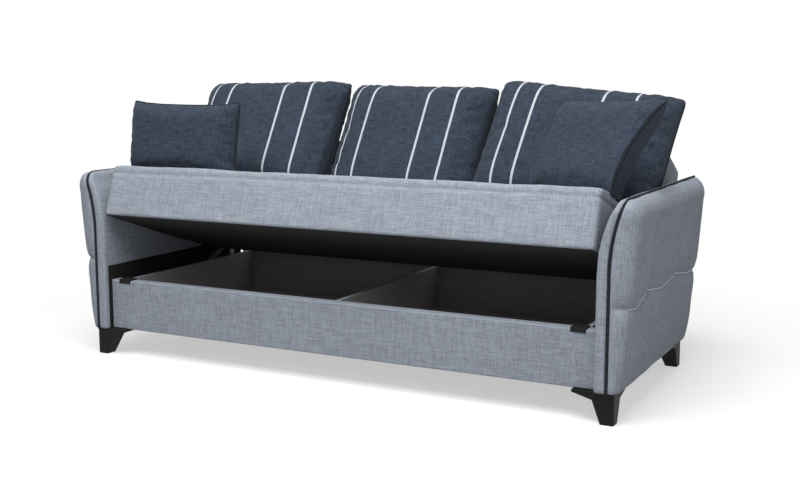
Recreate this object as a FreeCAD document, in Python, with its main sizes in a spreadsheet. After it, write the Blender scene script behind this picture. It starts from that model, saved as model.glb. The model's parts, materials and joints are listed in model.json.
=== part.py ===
import FreeCAD, Part
import math
import os
import re

import Sketcher

Vector = FreeCAD.Vector

# A three-seat storage sofa with its seat raised. Everything is measured from the middle
# of the front rail's face: X to the viewer's right, Y to the back, Z up from the floor.
# The seat and the backrest are drawn lowered, as for sitting, and then tilted together.

doc = FreeCAD.newDocument("storage_sofa")
sizes = doc.addObject("Spreadsheet::Sheet", "Sizes")

DRIVING = {
    "SeatOpening": 1896,  # between the inner faces of the two arms
    "SeatSideGap": 7,  # seat to arm, each side
    "FrameCentre": 482,  # front rail face to the middle of the whole footprint
    "LegHeight": 100,
    "RailHeight": 185,
    "RailThickness": 42,
    "BoardThickness": 34,
    "CoverSkin": 4,
    "PanelThickness": 18,
    "MechanismSlot": 38,  # side panel to arm, room for the lifting gear
    "BoxDepth": 810,  # inside the storage box, front to back
    "FloorThickness": 17,
    "DividerThickness": 14,
    "DividerCentre": 7,  # right of the sofa's middle
    "PanelDrop": 2,  # top of the inner panels below the rail's top
    "WallRise": 5,  # top of the box's back wall above the rail's top
    "BoardFit": 0.3,
    "BracketLeg": 32,
    "BracketWidth": 26,
    "BracketSheet": 2,
    "BracketRise": 110,  # middle of an angle above the floor panels
    "ScrewHeadRadius": 3.6,
    "ScrewHeadRise": 1.6,
    "StopLength": 50,
    "StopHeight": 5,
    "StopDrop": 10,
    "ArmForward": 39,
    "ArmRear": 835,
    "ArmTop": 694,
    "ArmStrip": 39,  # width of the flat strip on the arm's front
    "ArmFlareStart": 470,
    "ArmInnerRadius": 416,
    "ArmOuterRadius": 560,
    "ArmPadDepth": 58,  # outer pad, from the piping line out, at mid height
    "ArmPadSwell": 30,  # further out near the top
    "ArmPadTuck": 23,  # drawn in at the bottom edge
    "ArmPadBelly": 150,  # height of the outer pad's fullest stretch above its foot
    "ArmPadRound": 76,
    "ArmFrontRound": 45,
    "ArmShoulder": 24,
    "ArmNose": 50,  # rounding of the top front corner, seen from the side
    "ArmBoardThickness": 17.7,
    "ArmBoardRise": 350,
    "ArmBoardInset": 19,
    "PipingRadius": 4.5,
    "PipingSink": 3,
    "SoftFit": 0.3,
    "LiningRise": 240,
    "LiningThickness": 1.2,
    "LegOutset": 60,  # outer side of a leg beyond the arm's inner face
    "LegTopWidth": 78,
    "LegSoleWidth": 44,
    "LegPlate": 8,
    "LegWing": 135,
    "LegSetback": 20,  # front face of a leg behind the arm's front
    "LegEdge": 5,
    "GussetDrop": 18,
    "GussetWidth": 24,
    "LegScrewRadius": 3,
    "LegScrewStep": 28,
    "LegScrewBite": 30,
    "LegScrewHead": 6,
    "LegScrewHeadRise": 3,
    "CornerBlockRise": 80,
    "SeatFront": -50,
    "SeatRear": 594,
    "SeatUnderside": 292,
    "SeatThickness": 183,
    "SeatCrown": 12,
    "SeatCorner": 20,
    "SeatEndRound": 14,
    "PocketMargin": 55,
    "PocketDepth": 52,
    "TubeWidth": 25,
    "TubeHeight": 40,
    "SlatWidth": 60,
    "SlatThickness": 12,
    "SlatCount": 12,
    "FrameBars": 4,  # windows in a steel frame, side by side
    "DustCover": 1.5,
    "DustInset": 6,
    "BackBottomY": 596,
    "BackBottomZ": 345,
    "BackHeight": 457,
    "BackFoot": 185,  # thickness of the backrest at its lower end
    "BackHead": 222,  # thickness at its upper end
    "BackRecline": 8.6,
    "BackCrown": 12,
    "BackCorner": 44,
    "BackHeadCorner": 26,
    "RearCover": 3,
    "ToeClearance": 1,
    "NotchDepth": 35,  # seat and back ends cut in for the lifting gear
    "NotchLength": 164,
    "NotchHeight": 118,
    "PivotY": 709,
    "PivotZ": 385,
    "KneeY": 675,
    "KneeZ": 406,
    "LiftAngle": 18.5,  # the seat's tilt in the photographed position
    "PlateThickness": 5,
    "PlateGap": 1,
    "PinRadius": 6,
    "PinFit": 0.05,
    "HubRadius": 20,
    "PivotHubRadius": 24,
    "GearBoltY": 450,
    "GearBoltStep": 70,
    "GearBoltRadius": 4,
    "BoltHead": 6,
    "BoltHeadRise": 4,
    "BackBoltY": 174,
    "BackBoltZ": 128,
    "BackBoltStep": 24,
    "QuadrantRadius": 46,
    "ToothDepth": 5,
    "ToothCount": 9,
    "QuadrantStart": 190,  # degrees from the rear, in the backrest's own frame
    "QuadrantSpan": 90,
    "PawlAngle": 17,
    "PawlClearance": 0.6,
    "PawlLength": 22,
    "BackArmWidth": 24,
    "BracketFootSetback": 9,  # foot of the fixed bracket behind the pivot
    "BracketFootWidth": 25,
    "BracketFootRise": 93,
    "HookPinRadius": 4,
    "PinHeadRise": 2,
    "TailLength": 60,
    "SpringRadius": 9,
    "SpringWire": 1.6,
    "SpringTurns": 8,
    "SpringLead": 9,
    "SpringHookY": 560,
    "SpringHookZ": 262,
    "CushionWidth": 640,
    "CushionHeight": 520,
    "CushionThickness": 196,
    "CushionPull": 14,  # sides drawn in between the corners
    "CushionCorner": 12,
    "CushionSink": 12,  # how far the foot of a cushion is pressed in
    "SmallPillowWidth": 477,
    "SmallPillowHeight": 262,
    "SmallPillowThickness": 120,
    "TallPillowWidth": 486,
    "TallPillowHeight": 318,
    "TallPillowThickness": 124,
    "CushionLeftX": -632,  # middle of each back cushion's foot, across
    "CushionMiddleX": -33,
    "CushionRightX": 639,
    "CushionLeftAhead": 205,  # and how far it stands ahead of the seat's rear edge
    "CushionMiddleAhead": 112,
    "CushionRightAhead": 135,
    "SmallPillowX": -686,
    "SmallPillowBehind": 150,  # its foot behind the seat's front edge
    "TallPillowX": 790,
    "TallPillowBehind": 262,
}

for row, (alias, number) in enumerate(DRIVING.items(), start=1):
    sizes.set("A%d" % row, alias)
    sizes.set("B%d" % row, str(number))
    sizes.setAlias("B%d" % row, alias)
doc.recompute()

WORKED_OUT = {
    "ArmInner": "SeatOpening / 2",
    "SeatHalf": "ArmInner - SeatSideGap",
    "PanelOuter": "ArmInner - MechanismSlot",
    "PanelInner": "PanelOuter - PanelThickness",
    "RailHalf": "ArmInner - LiningThickness",
    "BoardNear": "ArmInner + ArmStrip",
    "DividerLeft": "DividerCentre - DividerThickness / 2",
    "DividerRight": "DividerCentre + DividerThickness / 2",
    "RailTop": "LegHeight + RailHeight",
    "PanelTop": "RailTop - PanelDrop",
    "WallTop": "RailTop + WallRise",
    "WallFront": "RailThickness + BoxDepth",
    "WallRear": "WallFront + PanelThickness",
    "FloorTop": "LegHeight + FloorThickness",
    "NotchFace": "SeatHalf - NotchDepth",
    "SeatTop": "SeatUnderside + SeatThickness",
}
for row, (alias, rule) in enumerate(WORKED_OUT.items(), start=1):
    sizes.set("D%d" % row, alias)
    sizes.set("E%d" % row, "=" + rule)
    sizes.setAlias("E%d" % row, alias)
doc.recompute()


def size(alias):
    """The value of one cell of the sheet."""
    return float(getattr(sizes, alias))


def cells(rule):
    """A rule on plain aliases, written for setExpression."""
    return re.sub(r"[A-Z][A-Za-z]+", lambda found: "Sizes." + found.group(0), rule)


def number(rule):
    """What a rule on plain aliases comes to."""
    return float(sizes.evalExpression(cells(rule)))


pieces = []


def keep(piece, label):
    """Names a finished sub-part, which is written under that name."""
    piece.Label = label
    pieces.append(piece)
    return piece


# Where each group stands

tilt_axis = Vector(1, 0, 0)
to_frame = Vector(0, -size("FrameCentre"), 0)
pivot = Vector(0, size("PivotY"), size("PivotZ"))
standing = FreeCAD.Placement(to_frame, FreeCAD.Rotation())
raised = FreeCAD.Placement(to_frame, FreeCAD.Rotation()) * FreeCAD.Placement(
    Vector(), FreeCAD.Rotation(tilt_axis, -size("LiftAngle")), pivot
)
back_corner = Vector(0, size("BackBottomY"), size("BackBottomZ"))
leaning = raised * FreeCAD.Placement(
    back_corner, FreeCAD.Rotation(tilt_axis, -size("BackRecline"))
)


def in_back(point):
    """A point of the lowered sofa in the backrest's own upright frame."""
    upright = FreeCAD.Placement(
        back_corner, FreeCAD.Rotation(tilt_axis, -size("BackRecline"))
    )
    return upright.inverse().multVec(point)


def box(label, low, high, placement=standing):
    """A board with square edges, between two corners given as rules."""
    board = doc.addObject("Part::Box", label)
    for name, start, end in zip(("Length", "Width", "Height"), low, high):
        board.setExpression(name, cells("(%s) - (%s)" % (end, start)))
    corner = [number(rule) for rule in low]
    board.Placement = placement * FreeCAD.Placement(Vector(*corner), FreeCAD.Rotation())
    return keep(board, label)


def plane_of(body, role):
    """One of a body's own origin planes."""
    return next(f for f in body.Origin.OriginFeatures if f.Role == role)


def outline_sketch(body, role, offset, corners):
    """A closed sketch of straight sides, each corner tied to the sheet."""
    sketch = body.newObject("Sketcher::SketchObject", body.Name + "_outline")
    sketch.AttachmentSupport = (plane_of(body, role), [""])
    sketch.MapMode = "FlatFace"
    sketch.setExpression("AttachmentOffset.Base.z", cells(offset))
    spots = []
    for across, up in corners:
        spots.append(Vector(number(across), number(up), 0))
    count = len(spots)
    for i in range(count):
        sketch.addGeometry(Part.LineSegment(spots[i], spots[(i + 1) % count]), False)
    for i in range(count):
        following = (i + 1) % count
        sketch.addConstraint(Sketcher.Constraint("Coincident", i, 2, following, 1))
    for i, (across, up) in enumerate(corners):
        for letter, kind, rule, start in (
            ("across", "DistanceX", across, spots[i].x),
            ("up", "DistanceY", up, spots[i].y),
        ):
            place = sketch.addConstraint(Sketcher.Constraint(kind, -1, 1, i, 1, start))
            sketch.renameConstraint(place, "%s%d" % (letter, i))
            sketch.setExpression("Constraints.%s%d" % (letter, i), cells(rule))
    return sketch


def slab(label, role, offset, thickness, corners, placement):
    """A plate or board cut to an outline: a sketch padded to its thickness."""
    body = doc.addObject("PartDesign::Body", label)
    sketch = outline_sketch(body, role, offset, corners)
    doc.recompute()
    pad = body.newObject("PartDesign::Pad", label + "_pad")
    pad.Profile = sketch
    pad.setExpression("Length", cells(thickness))
    doc.recompute()
    body.Placement = placement
    return keep(body, label)


def solid(label, shape, placement):
    """A form worked out with Part's own functions."""
    feature = doc.addObject("Part::Feature", label)
    feature.Shape = shape
    feature.Placement = placement * shape.Placement
    return keep(feature, label)


def line(start, end):
    """One straight edge."""
    return Part.LineSegment(start, end).toShape()


def arc(start, middle, end):
    """One round edge through three points."""
    return Part.Arc(start, middle, end).toShape()


def bulged(start, end, out):
    """A round edge between two points that stands out by a vector at its middle."""
    return arc(start, (start + end) * 0.5 + out, end)


def block(low, high):
    """A box shape between two corners."""
    low, high = Vector(*low), Vector(*high)
    span = high - low
    return Part.makeBox(span.x, span.y, span.z, low)


def rod(start, end, radius):
    """A round bar between two points."""
    return Part.makeCylinder(radius, (end - start).Length, start, end - start)


# The storage box on the floor: front rail, two inner sides, back wall, divider, floors

SIDES = (("left", -1), ("right", 1))

box(
    "front_rail_board",
    ("-RailHalf", "CoverSkin", "LegHeight + CoverSkin"),
    ("RailHalf", "CoverSkin + BoardThickness", "RailTop - CoverSkin"),
)


def rail_cover():
    """The wrapped fabric: the rail's outer shape less the board, front edges rounded."""
    half, skin = size("RailHalf"), size("CoverSkin")
    low, high = size("LegHeight"), size("RailTop")
    outer = block((-half, 0, low), (half, size("RailThickness"), high))
    front = [e for e in outer.Edges if e.BoundBox.YMax < skin and e.BoundBox.XLength > half]
    outer = outer.makeFillet(skin, front)
    board_rear = skin + size("BoardThickness")
    return outer.cut(block((-half, skin, low + skin), (half, board_rear, high - skin)))


solid("front_rail_cover", rail_cover(), standing)

for side, sign in SIDES:
    low_x, high_x = ("PanelInner", "PanelOuter") if sign > 0 else ("-PanelOuter", "-PanelInner")
    box(
        "side_panel_" + side,
        (low_x, "RailThickness", "LegHeight"),
        (high_x, "WallFront - BoardFit", "PanelTop"),
    )
box(
    "back_wall",
    ("-RailHalf", "WallFront", "LegHeight"),
    ("RailHalf", "WallRear", "WallTop"),
)
box(
    "divider",
    ("DividerLeft", "RailThickness", "LegHeight"),
    ("DividerRight", "WallFront - BoardFit", "PanelTop"),
)
box(
    "floor_panel_left",
    ("-PanelInner + BoardFit", "RailThickness + BoardFit", "LegHeight"),
    ("DividerLeft - BoardFit", "WallFront - BoardFit", "FloorTop"),
)
box(
    "floor_panel_right",
    ("DividerRight + BoardFit", "RailThickness + BoardFit", "LegHeight"),
    ("PanelInner - BoardFit", "WallFront - BoardFit", "FloorTop"),
)


# Steel angles hold the panels to the back wall, one screw in each leg of an angle


def angle_bracket(face_x, sign):
    """An angle in the corner of an upright panel's face and the back wall, and its screws."""
    wall = size("WallFront")
    middle = size("FloorTop") + size("BracketRise")
    low, high = middle - size("BracketWidth") / 2, middle + size("BracketWidth") / 2
    reach, sheet = size("BracketLeg"), size("BracketSheet")

    def leg_between(x_span, y_span):
        xs = sorted((face_x + sign * x_span[0], face_x + sign * x_span[1]))
        return block((xs[0], wall - y_span[1], low), (xs[1], wall - y_span[0], high))

    angle = leg_between((0, reach), (0, sheet)).fuse(leg_between((0, sheet), (0, reach)))
    out = reach * 0.65
    rise = size("ScrewHeadRise")
    heads = [
        rod(
            Vector(face_x + sign * out, wall - sheet, middle),
            Vector(face_x + sign * out, wall - sheet - rise, middle),
            size("ScrewHeadRadius"),
        ),
        rod(
            Vector(face_x + sign * sheet, wall - out, middle),
            Vector(face_x + sign * (sheet + rise), wall - out, middle),
            size("ScrewHeadRadius"),
        ),
    ]
    return angle.removeSplitter(), heads


brackets, heads = [], []
for face_x, sign in (
    (-size("PanelInner"), 1),
    (size("DividerLeft"), -1),
    (size("DividerRight"), 1),
    (size("PanelInner"), -1),
):
    angle, pair = angle_bracket(face_x, sign)
    brackets.append(angle)
    heads += pair
solid("wall_brackets", Part.Compound(brackets), standing)
solid("bracket_screws", Part.Compound(heads), standing)


# Rubber stops folded over the rail's top, which the lowered seat lies on


def seat_stop(sign):
    """A pad on the rail's top with a lip down its front face."""
    reach = size("PanelOuter")
    low_x, high_x = sorted((sign * reach, sign * (reach - size("StopLength"))))
    rise, top = size("StopHeight"), size("RailTop")
    lip = rise / 2
    pad = block((low_x, -lip, top), (high_x, size("RailThickness"), top + rise))
    pad = pad.fuse(block((low_x, -lip, top - size("StopDrop")), (high_x, 0, top + rise)))
    pad = pad.removeSplitter()
    nose = [e for e in pad.Edges if e.BoundBox.YMax < -lip / 2 and e.BoundBox.ZMin > top]
    return pad.makeFillet(lip * 0.8, nose)


for side, sign in SIDES:
    solid("seat_stop_" + side, seat_stop(sign), standing)


# Legs: each is screwed up into a wooden block in the slot between the box and the arm

CORNERS = (
    ("front_left", -1, 1),
    ("front_right", 1, 1),
    ("rear_left", -1, -1),
    ("rear_right", 1, -1),
)


def along_arm(y, end):
    """A place along the arm, counted from its front (end 1) or from its rear (end -1)."""
    return y - size("ArmForward") if end > 0 else size("ArmRear") - y


def leg_screw_spots(sign, end):
    """Where one leg's two screws go up, behind its post."""
    x = sign * (size("PanelOuter") + size("ArmInner")) / 2
    first = size("LegSetback") + size("LegTopWidth") + size("LegScrewStep") / 2
    return [
        Vector(x, along_arm(first, end), 0),
        Vector(x, along_arm(first + size("LegScrewStep"), end), 0),
    ]


def corner_block(sign, end):
    """A block with two pilot holes from below."""
    fit, low = size("BoardFit"), size("LegHeight")
    xs = sorted((sign * (size("PanelOuter") + fit), sign * (size("RailHalf") - fit)))
    start = size("ArmForward") + size("RailThickness") + fit
    finish = size("LegSetback") + size("LegTopWidth") + 2 * size("LegScrewStep")
    ys = sorted((along_arm(start, end), along_arm(finish, end)))
    piece = block((xs[0], ys[0], low), (xs[1], ys[1], low + size("CornerBlockRise")))
    for spot in leg_screw_spots(sign, end):
        foot = Vector(spot.x, spot.y, low)
        piece = piece.cut(
            Part.makeCylinder(size("LegScrewRadius"), size("LegScrewBite"), foot)
        )
    return piece


def leg(sign, end):
    """A leg: a plate with two wings, a post that tapers to its sole, and two gussets."""
    outer = size("ArmInner") + size("LegOutset")
    top, sole, wing = size("LegTopWidth"), size("LegSoleWidth"), size("LegWing")
    under = size("LegHeight") - size("LegPlate")

    def spot(inward, back, z):
        """A point inward from the leg's outer side and back from its front face."""
        return Vector(sign * (outer - inward), along_arm(size("LegSetback") + back, end), z)

    def ring(corners):
        points = [spot(*corner) for corner in corners]
        return Part.makePolygon(points + points[:1])

    def square(width, z):
        return ring([(0, 0, z), (width, 0, z), (width, width, z), (0, width, z)])

    post = Part.makeLoft([square(sole, 0), square(top, under)], True, True)
    uprights = [e for e in post.Edges if e.BoundBox.ZLength > under / 2]
    post = post.makeFillet(size("LegEdge"), uprights)
    flange = Part.Face(
        ring([(0, 0, under), (wing, 0, under), (wing, top, under), (top, wing, under), (0, wing, under)])
    )
    flange = flange.extrude(Vector(0, 0, size("LegPlate")))
    start, low = top - size("LegPlate"), under - size("GussetDrop")
    width = size("GussetWidth")
    side = [
        ring([(start, w, low), (wing, w, under), (start, w, under)]) for w in (0, width)
    ]
    front = [
        ring([(w, start, low), (w, wing, under), (w, start, under)]) for w in (0, width)
    ]
    gussets = [Part.makeLoft(pair, True, True) for pair in (side, front)]
    piece = post.fuse([flange] + gussets).removeSplitter()
    for place in leg_screw_spots(sign, end):
        foot = Vector(place.x, place.y, under)
        piece = piece.cut(
            Part.makeCylinder(size("LegScrewRadius") + size("PinFit"), size("LegPlate"), foot)
        )
    return piece


def leg_screw(place):
    """A pan head under the plate and a shank up into the block."""
    under = Vector(place.x, place.y, size("LegHeight") - size("LegPlate"))
    length = size("LegPlate") + size("LegScrewBite")
    shank = Part.makeCylinder(size("LegScrewRadius"), length, under)
    return shank.fuse(
        Part.makeCylinder(size("LegScrewHead"), size("LegScrewHeadRise"), under, Vector(0, 0, -1))
    )


blocks, screws = [], []
for corner, sign, end in CORNERS:
    solid("leg_" + corner, leg(sign, end), standing)
    blocks.append(corner_block(sign, end))
    screws += [leg_screw(place) for place in leg_screw_spots(sign, end)]
solid("corner_blocks", Part.Compound(blocks), standing)
solid("leg_screws", Part.Compound(screws), standing)


# Arms: a flat strip pad inside, a swollen pad outside, piping in the groove between them


def arm_line(z, start_x, radius):
    """How far out a face stands that is upright at first and then flares by a radius."""
    above = max(0.0, z - size("ArmFlareStart"))
    return start_x + radius - math.sqrt(radius * radius - above * above)


def strip_edge(z, sign):
    """The line where the strip ends and the outer pad starts."""
    x = arm_line(z, size("ArmInner") + size("ArmStrip"), size("ArmOuterRadius"))
    return Vector(sign * x, 0, z)


def inner_edge(z, sign):
    """The arm's face towards the seat."""
    return Vector(sign * arm_line(z, size("ArmInner"), size("ArmInnerRadius")), 0, z)


def flare(edge, low, high, sign):
    """The round stretch of an edge line between two heights."""
    return arc(edge(low, sign), edge((low + high) / 2, sign), edge(high, sign))


def arm_side_outline():
    """The arm seen from the side, with its rounded top front corner, as a wide block."""
    front, rear = -size("ArmForward"), size("ArmRear")
    low, high, turn = size("LegHeight"), size("ArmTop"), size("ArmNose")
    slant = turn * (1 - math.sqrt(0.5))
    points = [
        Vector(0, front, low),
        Vector(0, front, high - turn),
        Vector(0, front + turn, high),
        Vector(0, rear, high),
        Vector(0, rear, low),
    ]
    nose = arc(points[1], Vector(0, front + slant, high - slant), points[2])
    sides = [
        line(points[0], points[1]),
        nose,
        line(points[2], points[3]),
        line(points[3], points[4]),
        line(points[4], points[0]),
    ]
    face = Part.Face(Part.Wire(sides))
    reach = 2 * size("SeatOpening")
    face.translate(Vector(-reach / 2, 0, 0))
    return face.extrude(Vector(reach, 0, 0))


def piping_path(sign):
    """Up the arm's front along the strip, round the top corner and back along the top."""
    turn = size("ArmNose")
    front = -size("ArmForward") + size("PipingSink")
    flat, radius = size("ArmFlareStart"), size("ArmOuterRadius")
    rise = size("ArmTop") - size("PipingSink") - flat
    # The corner starts where its far end comes out level with the top run.
    reach = math.hypot(radius, turn)
    tilt = math.asin(rise / reach) - math.atan2(turn, radius)
    start = Vector(sign * (size("ArmInner") + size("ArmStrip")), front, size("LegHeight"))
    bend = Vector(start.x, front, flat)

    def on_flare(angle):
        return Vector(
            start.x + sign * radius * (1 - math.cos(angle)), front, flat + radius * math.sin(angle)
        )

    upward = Vector(sign * math.sin(tilt), 0, math.cos(tilt))
    backward = Vector(0, 1, 0)
    corner = on_flare(tilt)
    middle = corner + backward * turn + (upward - backward) * (turn * math.sqrt(0.5))
    end = corner + (upward + backward) * turn
    rear = Vector(end.x, size("ArmRear"), end.z)
    return Part.Wire(
        [line(start, bend), arc(bend, on_flare(tilt / 2), corner), arc(corner, middle, end), line(end, rear)]
    )


def round_tube(path, radius):
    """A round section carried along a path."""
    first = path.Edges[0]
    start = first.valueAt(first.FirstParameter)
    along = first.tangentAt(first.FirstParameter)
    ring = Part.Wire(Part.makeCircle(radius, start, along))
    return path.makePipeShell([ring], True, False)


def arm_inner_pad(sign):
    """The strip's outline carried along the arm."""
    low, flat, top = size("LegHeight"), size("ArmFlareStart"), size("ArmTop")
    shoulder = top - size("ArmShoulder")
    sides = [
        line(strip_edge(low, sign), inner_edge(low, sign)),
        line(inner_edge(low, sign), inner_edge(flat, sign)),
        flare(inner_edge, flat, shoulder, sign),
        bulged(
            inner_edge(shoulder, sign),
            strip_edge(top - size("PipingSink"), sign),
            Vector(-sign, 0, 1) * (size("ArmShoulder") * 0.25),
        ),
        flare(strip_edge, top - size("PipingSink"), flat, sign),
        line(strip_edge(flat, sign), strip_edge(low, sign)),
    ]
    face = Part.Face(Part.Wire(sides))
    face.translate(Vector(0, -size("ArmForward"), 0))
    return face.extrude(Vector(0, size("ArmForward") + size("ArmRear"), 0))


def outer_pad_section(y, share, sign):
    """The swollen pad's outline at one place along the arm, at a share of its depth."""
    low, flat, top = size("LegHeight"), size("ArmFlareStart"), size("ArmTop")
    strip = size("ArmInner") + size("ArmStrip")
    deep = size("ArmPadDepth")
    high = top - size("ArmPadRound")
    crest = top - size("PipingSink")

    def out(z, depth):
        inner = sign * strip_edge(z, sign).x
        return Vector(sign * (inner + share * (strip + depth - inner)), 0, z)

    foot, belly = out(low, deep - size("ArmPadTuck")), out(low + size("ArmPadBelly"), deep)
    swell = out(high, deep + size("ArmPadSwell"))
    tip = strip_edge(crest, sign)
    outward = Vector(sign, 0, 0)
    sides = [
        line(foot, strip_edge(low, sign)),
        line(strip_edge(low, sign), strip_edge(flat, sign)),
        flare(strip_edge, flat, crest, sign),
        bulged(tip, swell, Vector(sign * 0.8, 0, 0.6) * (share * size("ArmPadRound") * 0.24)),
        bulged(swell, belly, outward * (share * 3)),
        bulged(belly, foot, outward * (share * 5)),
    ]
    section = Part.Wire(sides)
    section.translate(Vector(0, y, 0))
    return section


def arm_outer_pad(sign):
    """A loft along the arm whose front edge is round and whose rear edge is eased."""
    front, rear = -size("ArmForward"), size("ArmRear")
    turn = size("ArmFrontRound")
    steps = [
        (front, 0.25),
        (front + turn * 0.12, 0.6),
        (front + turn * 0.4, 0.87),
        (front + turn, 1.0),
        ((front + rear) / 2, 1.0),
        (rear - turn, 1.0),
        (rear - turn * 0.4, 0.93),
        (rear, 0.7),
    ]
    sections = [outer_pad_section(y, share, sign) for y, share in steps]
    return Part.makeLoft(sections, True, True)


def largest(shape):
    """The main solid of a cut, without the crumbs that a round groove leaves."""
    return max(shape.Solids, key=lambda part: part.Volume)


outline = arm_side_outline()
for side, sign in SIDES:
    path = piping_path(sign)
    groove = round_tube(path, size("PipingRadius") + size("SoftFit"))
    inner_pad = largest(arm_inner_pad(sign).common(outline).cut(groove))
    outer_pad = largest(arm_outer_pad(sign).common(outline).cut(groove))
    board_near = size("ArmInner") + size("ArmStrip")
    xs = sorted((sign * board_near, sign * (board_near + size("ArmBoardThickness"))))
    inset = size("ArmBoardInset")
    recess = block(
        (xs[0], -size("ArmForward") + inset, size("LegHeight")),
        (xs[1], size("ArmRear") - inset, size("LegHeight") + size("ArmBoardRise")),
    )
    solid("arm_inner_pad_" + side, inner_pad, standing)
    solid("arm_outer_pad_" + side, outer_pad.cut(recess), standing)
    solid("arm_piping_" + side, round_tube(path, size("PipingRadius")), standing)
    near, far = ("BoardNear", "BoardNear + ArmBoardThickness")
    low_x, high_x = (near, far) if sign > 0 else ("-(%s)" % far, "-(%s)" % near)
    box(
        "arm_board_" + side,
        (low_x, "ArmBoardInset - ArmForward", "LegHeight"),
        (high_x, "ArmRear - ArmBoardInset", "LegHeight + ArmBoardRise"),
    )
    low_x, high_x = ("RailHalf", "ArmInner") if sign > 0 else ("-ArmInner", "-RailHalf")
    box(
        "arm_lining_" + side,
        (low_x, "-ArmForward / 2", "LegHeight"),
        (high_x, "ArmRear", "LegHeight + LiningRise"),
    )


# Seat: foam over a steel frame with slats in a pocket, closed below by a dust cover


def pillow_block(half, low, high, rear, front, crown, corner, edge):
    """A long upholstered block: crowned on top, round at its long edges and its ends."""
    top_front = Vector(-half, front + corner, high)
    top_rear = Vector(-half, rear - corner, high)
    slant = corner * (1 - math.sqrt(0.5))
    sides = [
        line(Vector(-half, rear, low), Vector(-half, front, low)),
        line(Vector(-half, front, low), Vector(-half, front, high - corner)),
        arc(
            Vector(-half, front, high - corner),
            Vector(-half, front + slant, high - slant),
            top_front,
        ),
        bulged(top_front, top_rear, Vector(0, 0, crown)),
        arc(
            top_rear,
            Vector(-half, rear - slant, high - slant),
            Vector(-half, rear, high - corner),
        ),
        line(Vector(-half, rear, high - corner), Vector(-half, rear, low)),
    ]
    long_block = Part.Face(Part.Wire(sides)).extrude(Vector(2 * half, 0, 0))
    ends = [
        e
        for e in long_block.Edges
        if e.BoundBox.XLength < 0.01 and e.BoundBox.ZMax > low + corner
    ]
    return long_block.makeFillet(edge, ends)


def welded_frame(half, deep, tube, rise, bars):
    """A flat steel frame: a rectangle of tube with cross bars, windows between them."""
    frame = block((-half, 0, 0), (half, deep, rise))
    pitch = (2 * half - tube) / bars
    for i in range(bars):
        left = -half + tube + i * pitch
        window = block((left, tube, 0), (left + pitch - tube, deep - tube, rise))
        uprights = [e for e in window.Edges if e.BoundBox.ZLength > rise / 2]
        frame = frame.cut(window.makeFillet(tube / 4, uprights))
    return frame


def slat_row(half, deep, width, thick, count):
    """Slats side by side, lying from the front of a frame to its rear."""
    pitch = (2 * half - width) / (count - 1)
    lefts = [-half + i * pitch for i in range(count)]
    slats = []
    for left in lefts:
        slat = block((left, 0, 0), (left + width, deep, thick))
        ends = [e for e in slat.Edges if e.BoundBox.ZLength > thick / 2]
        slats.append(slat.makeFillet(thick / 2, ends))
    return Part.Compound(slats)


def end_notches(face_x, reach, low, high):
    """Two blocks that cut the ends of the seat or the backrest for the lifting gear."""
    left = block((-reach, low[0], low[1]), (-face_x, high[0], high[1]))
    right = block((face_x, low[0], low[1]), (reach, high[0], high[1]))
    return left.fuse(right)


pocket_half = size("SeatHalf") - size("PocketMargin")
pocket_front = size("SeatFront") + size("PocketMargin")
pocket_rear = size("SeatRear") - size("PocketMargin")
frame_fit = size("BoardFit")
gear_bolts = [Vector(0, y, size("SeatUnderside") + size("TubeHeight") / 2) for y in (
    size("GearBoltY"), size("GearBoltY") + size("GearBoltStep")
)]


def bolt_holes(places, radius, low_x, high_x):
    """Round holes through both ends of the seat or the backrest."""
    holes = []
    for sign in (-1, 1):
        for place in places:
            start = Vector(sign * low_x, place.y, place.z)
            end = Vector(sign * high_x, place.y, place.z)
            holes.append(rod(start, end, radius))
    return Part.Compound(holes)


whole_seat = pillow_block(
    size("SeatHalf"),
    size("SeatUnderside"),
    size("SeatTop"),
    size("SeatRear"),
    size("SeatFront"),
    size("SeatCrown"),
    size("SeatCorner"),
    size("SeatEndRound"),
)
seat_foam = whole_seat.cut(
    end_notches(
        size("NotchFace"),
        size("ArmInner"),
        (size("GearBoltY") - size("SeatCorner"), size("SeatUnderside")),
        (size("SeatRear"), size("SeatUnderside") + size("NotchHeight")),
    )
)
seat_foam = seat_foam.cut(
    block(
        (-pocket_half, pocket_front, size("SeatUnderside")),
        (pocket_half, pocket_rear, size("SeatUnderside") + size("PocketDepth")),
    )
)
bolt_radius = size("GearBoltRadius")
seat_foam = seat_foam.cut(
    bolt_holes(gear_bolts, bolt_radius + frame_fit, pocket_half, size("NotchFace"))
)
solid("seat_upholstery", seat_foam, raised)

seat_frame = welded_frame(
    pocket_half - frame_fit,
    pocket_rear - pocket_front - 2 * frame_fit,
    size("TubeWidth"),
    size("TubeHeight"),
    int(size("FrameBars")),
)
seat_frame.translate(Vector(0, pocket_front + frame_fit, size("SeatUnderside")))
seat_frame = seat_frame.cut(
    bolt_holes(gear_bolts, bolt_radius, pocket_half - size("TubeWidth"), pocket_half)
)
solid("seat_frame", seat_frame, raised)

seat_slats = slat_row(
    pocket_half - size("TubeWidth"),
    pocket_rear - pocket_front - 2 * frame_fit,
    size("SlatWidth"),
    size("SlatThickness"),
    int(size("SlatCount")),
)
seat_slats.translate(
    Vector(0, pocket_front + frame_fit, size("SeatUnderside") + size("TubeHeight"))
)
solid("seat_slats", seat_slats, raised)

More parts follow.
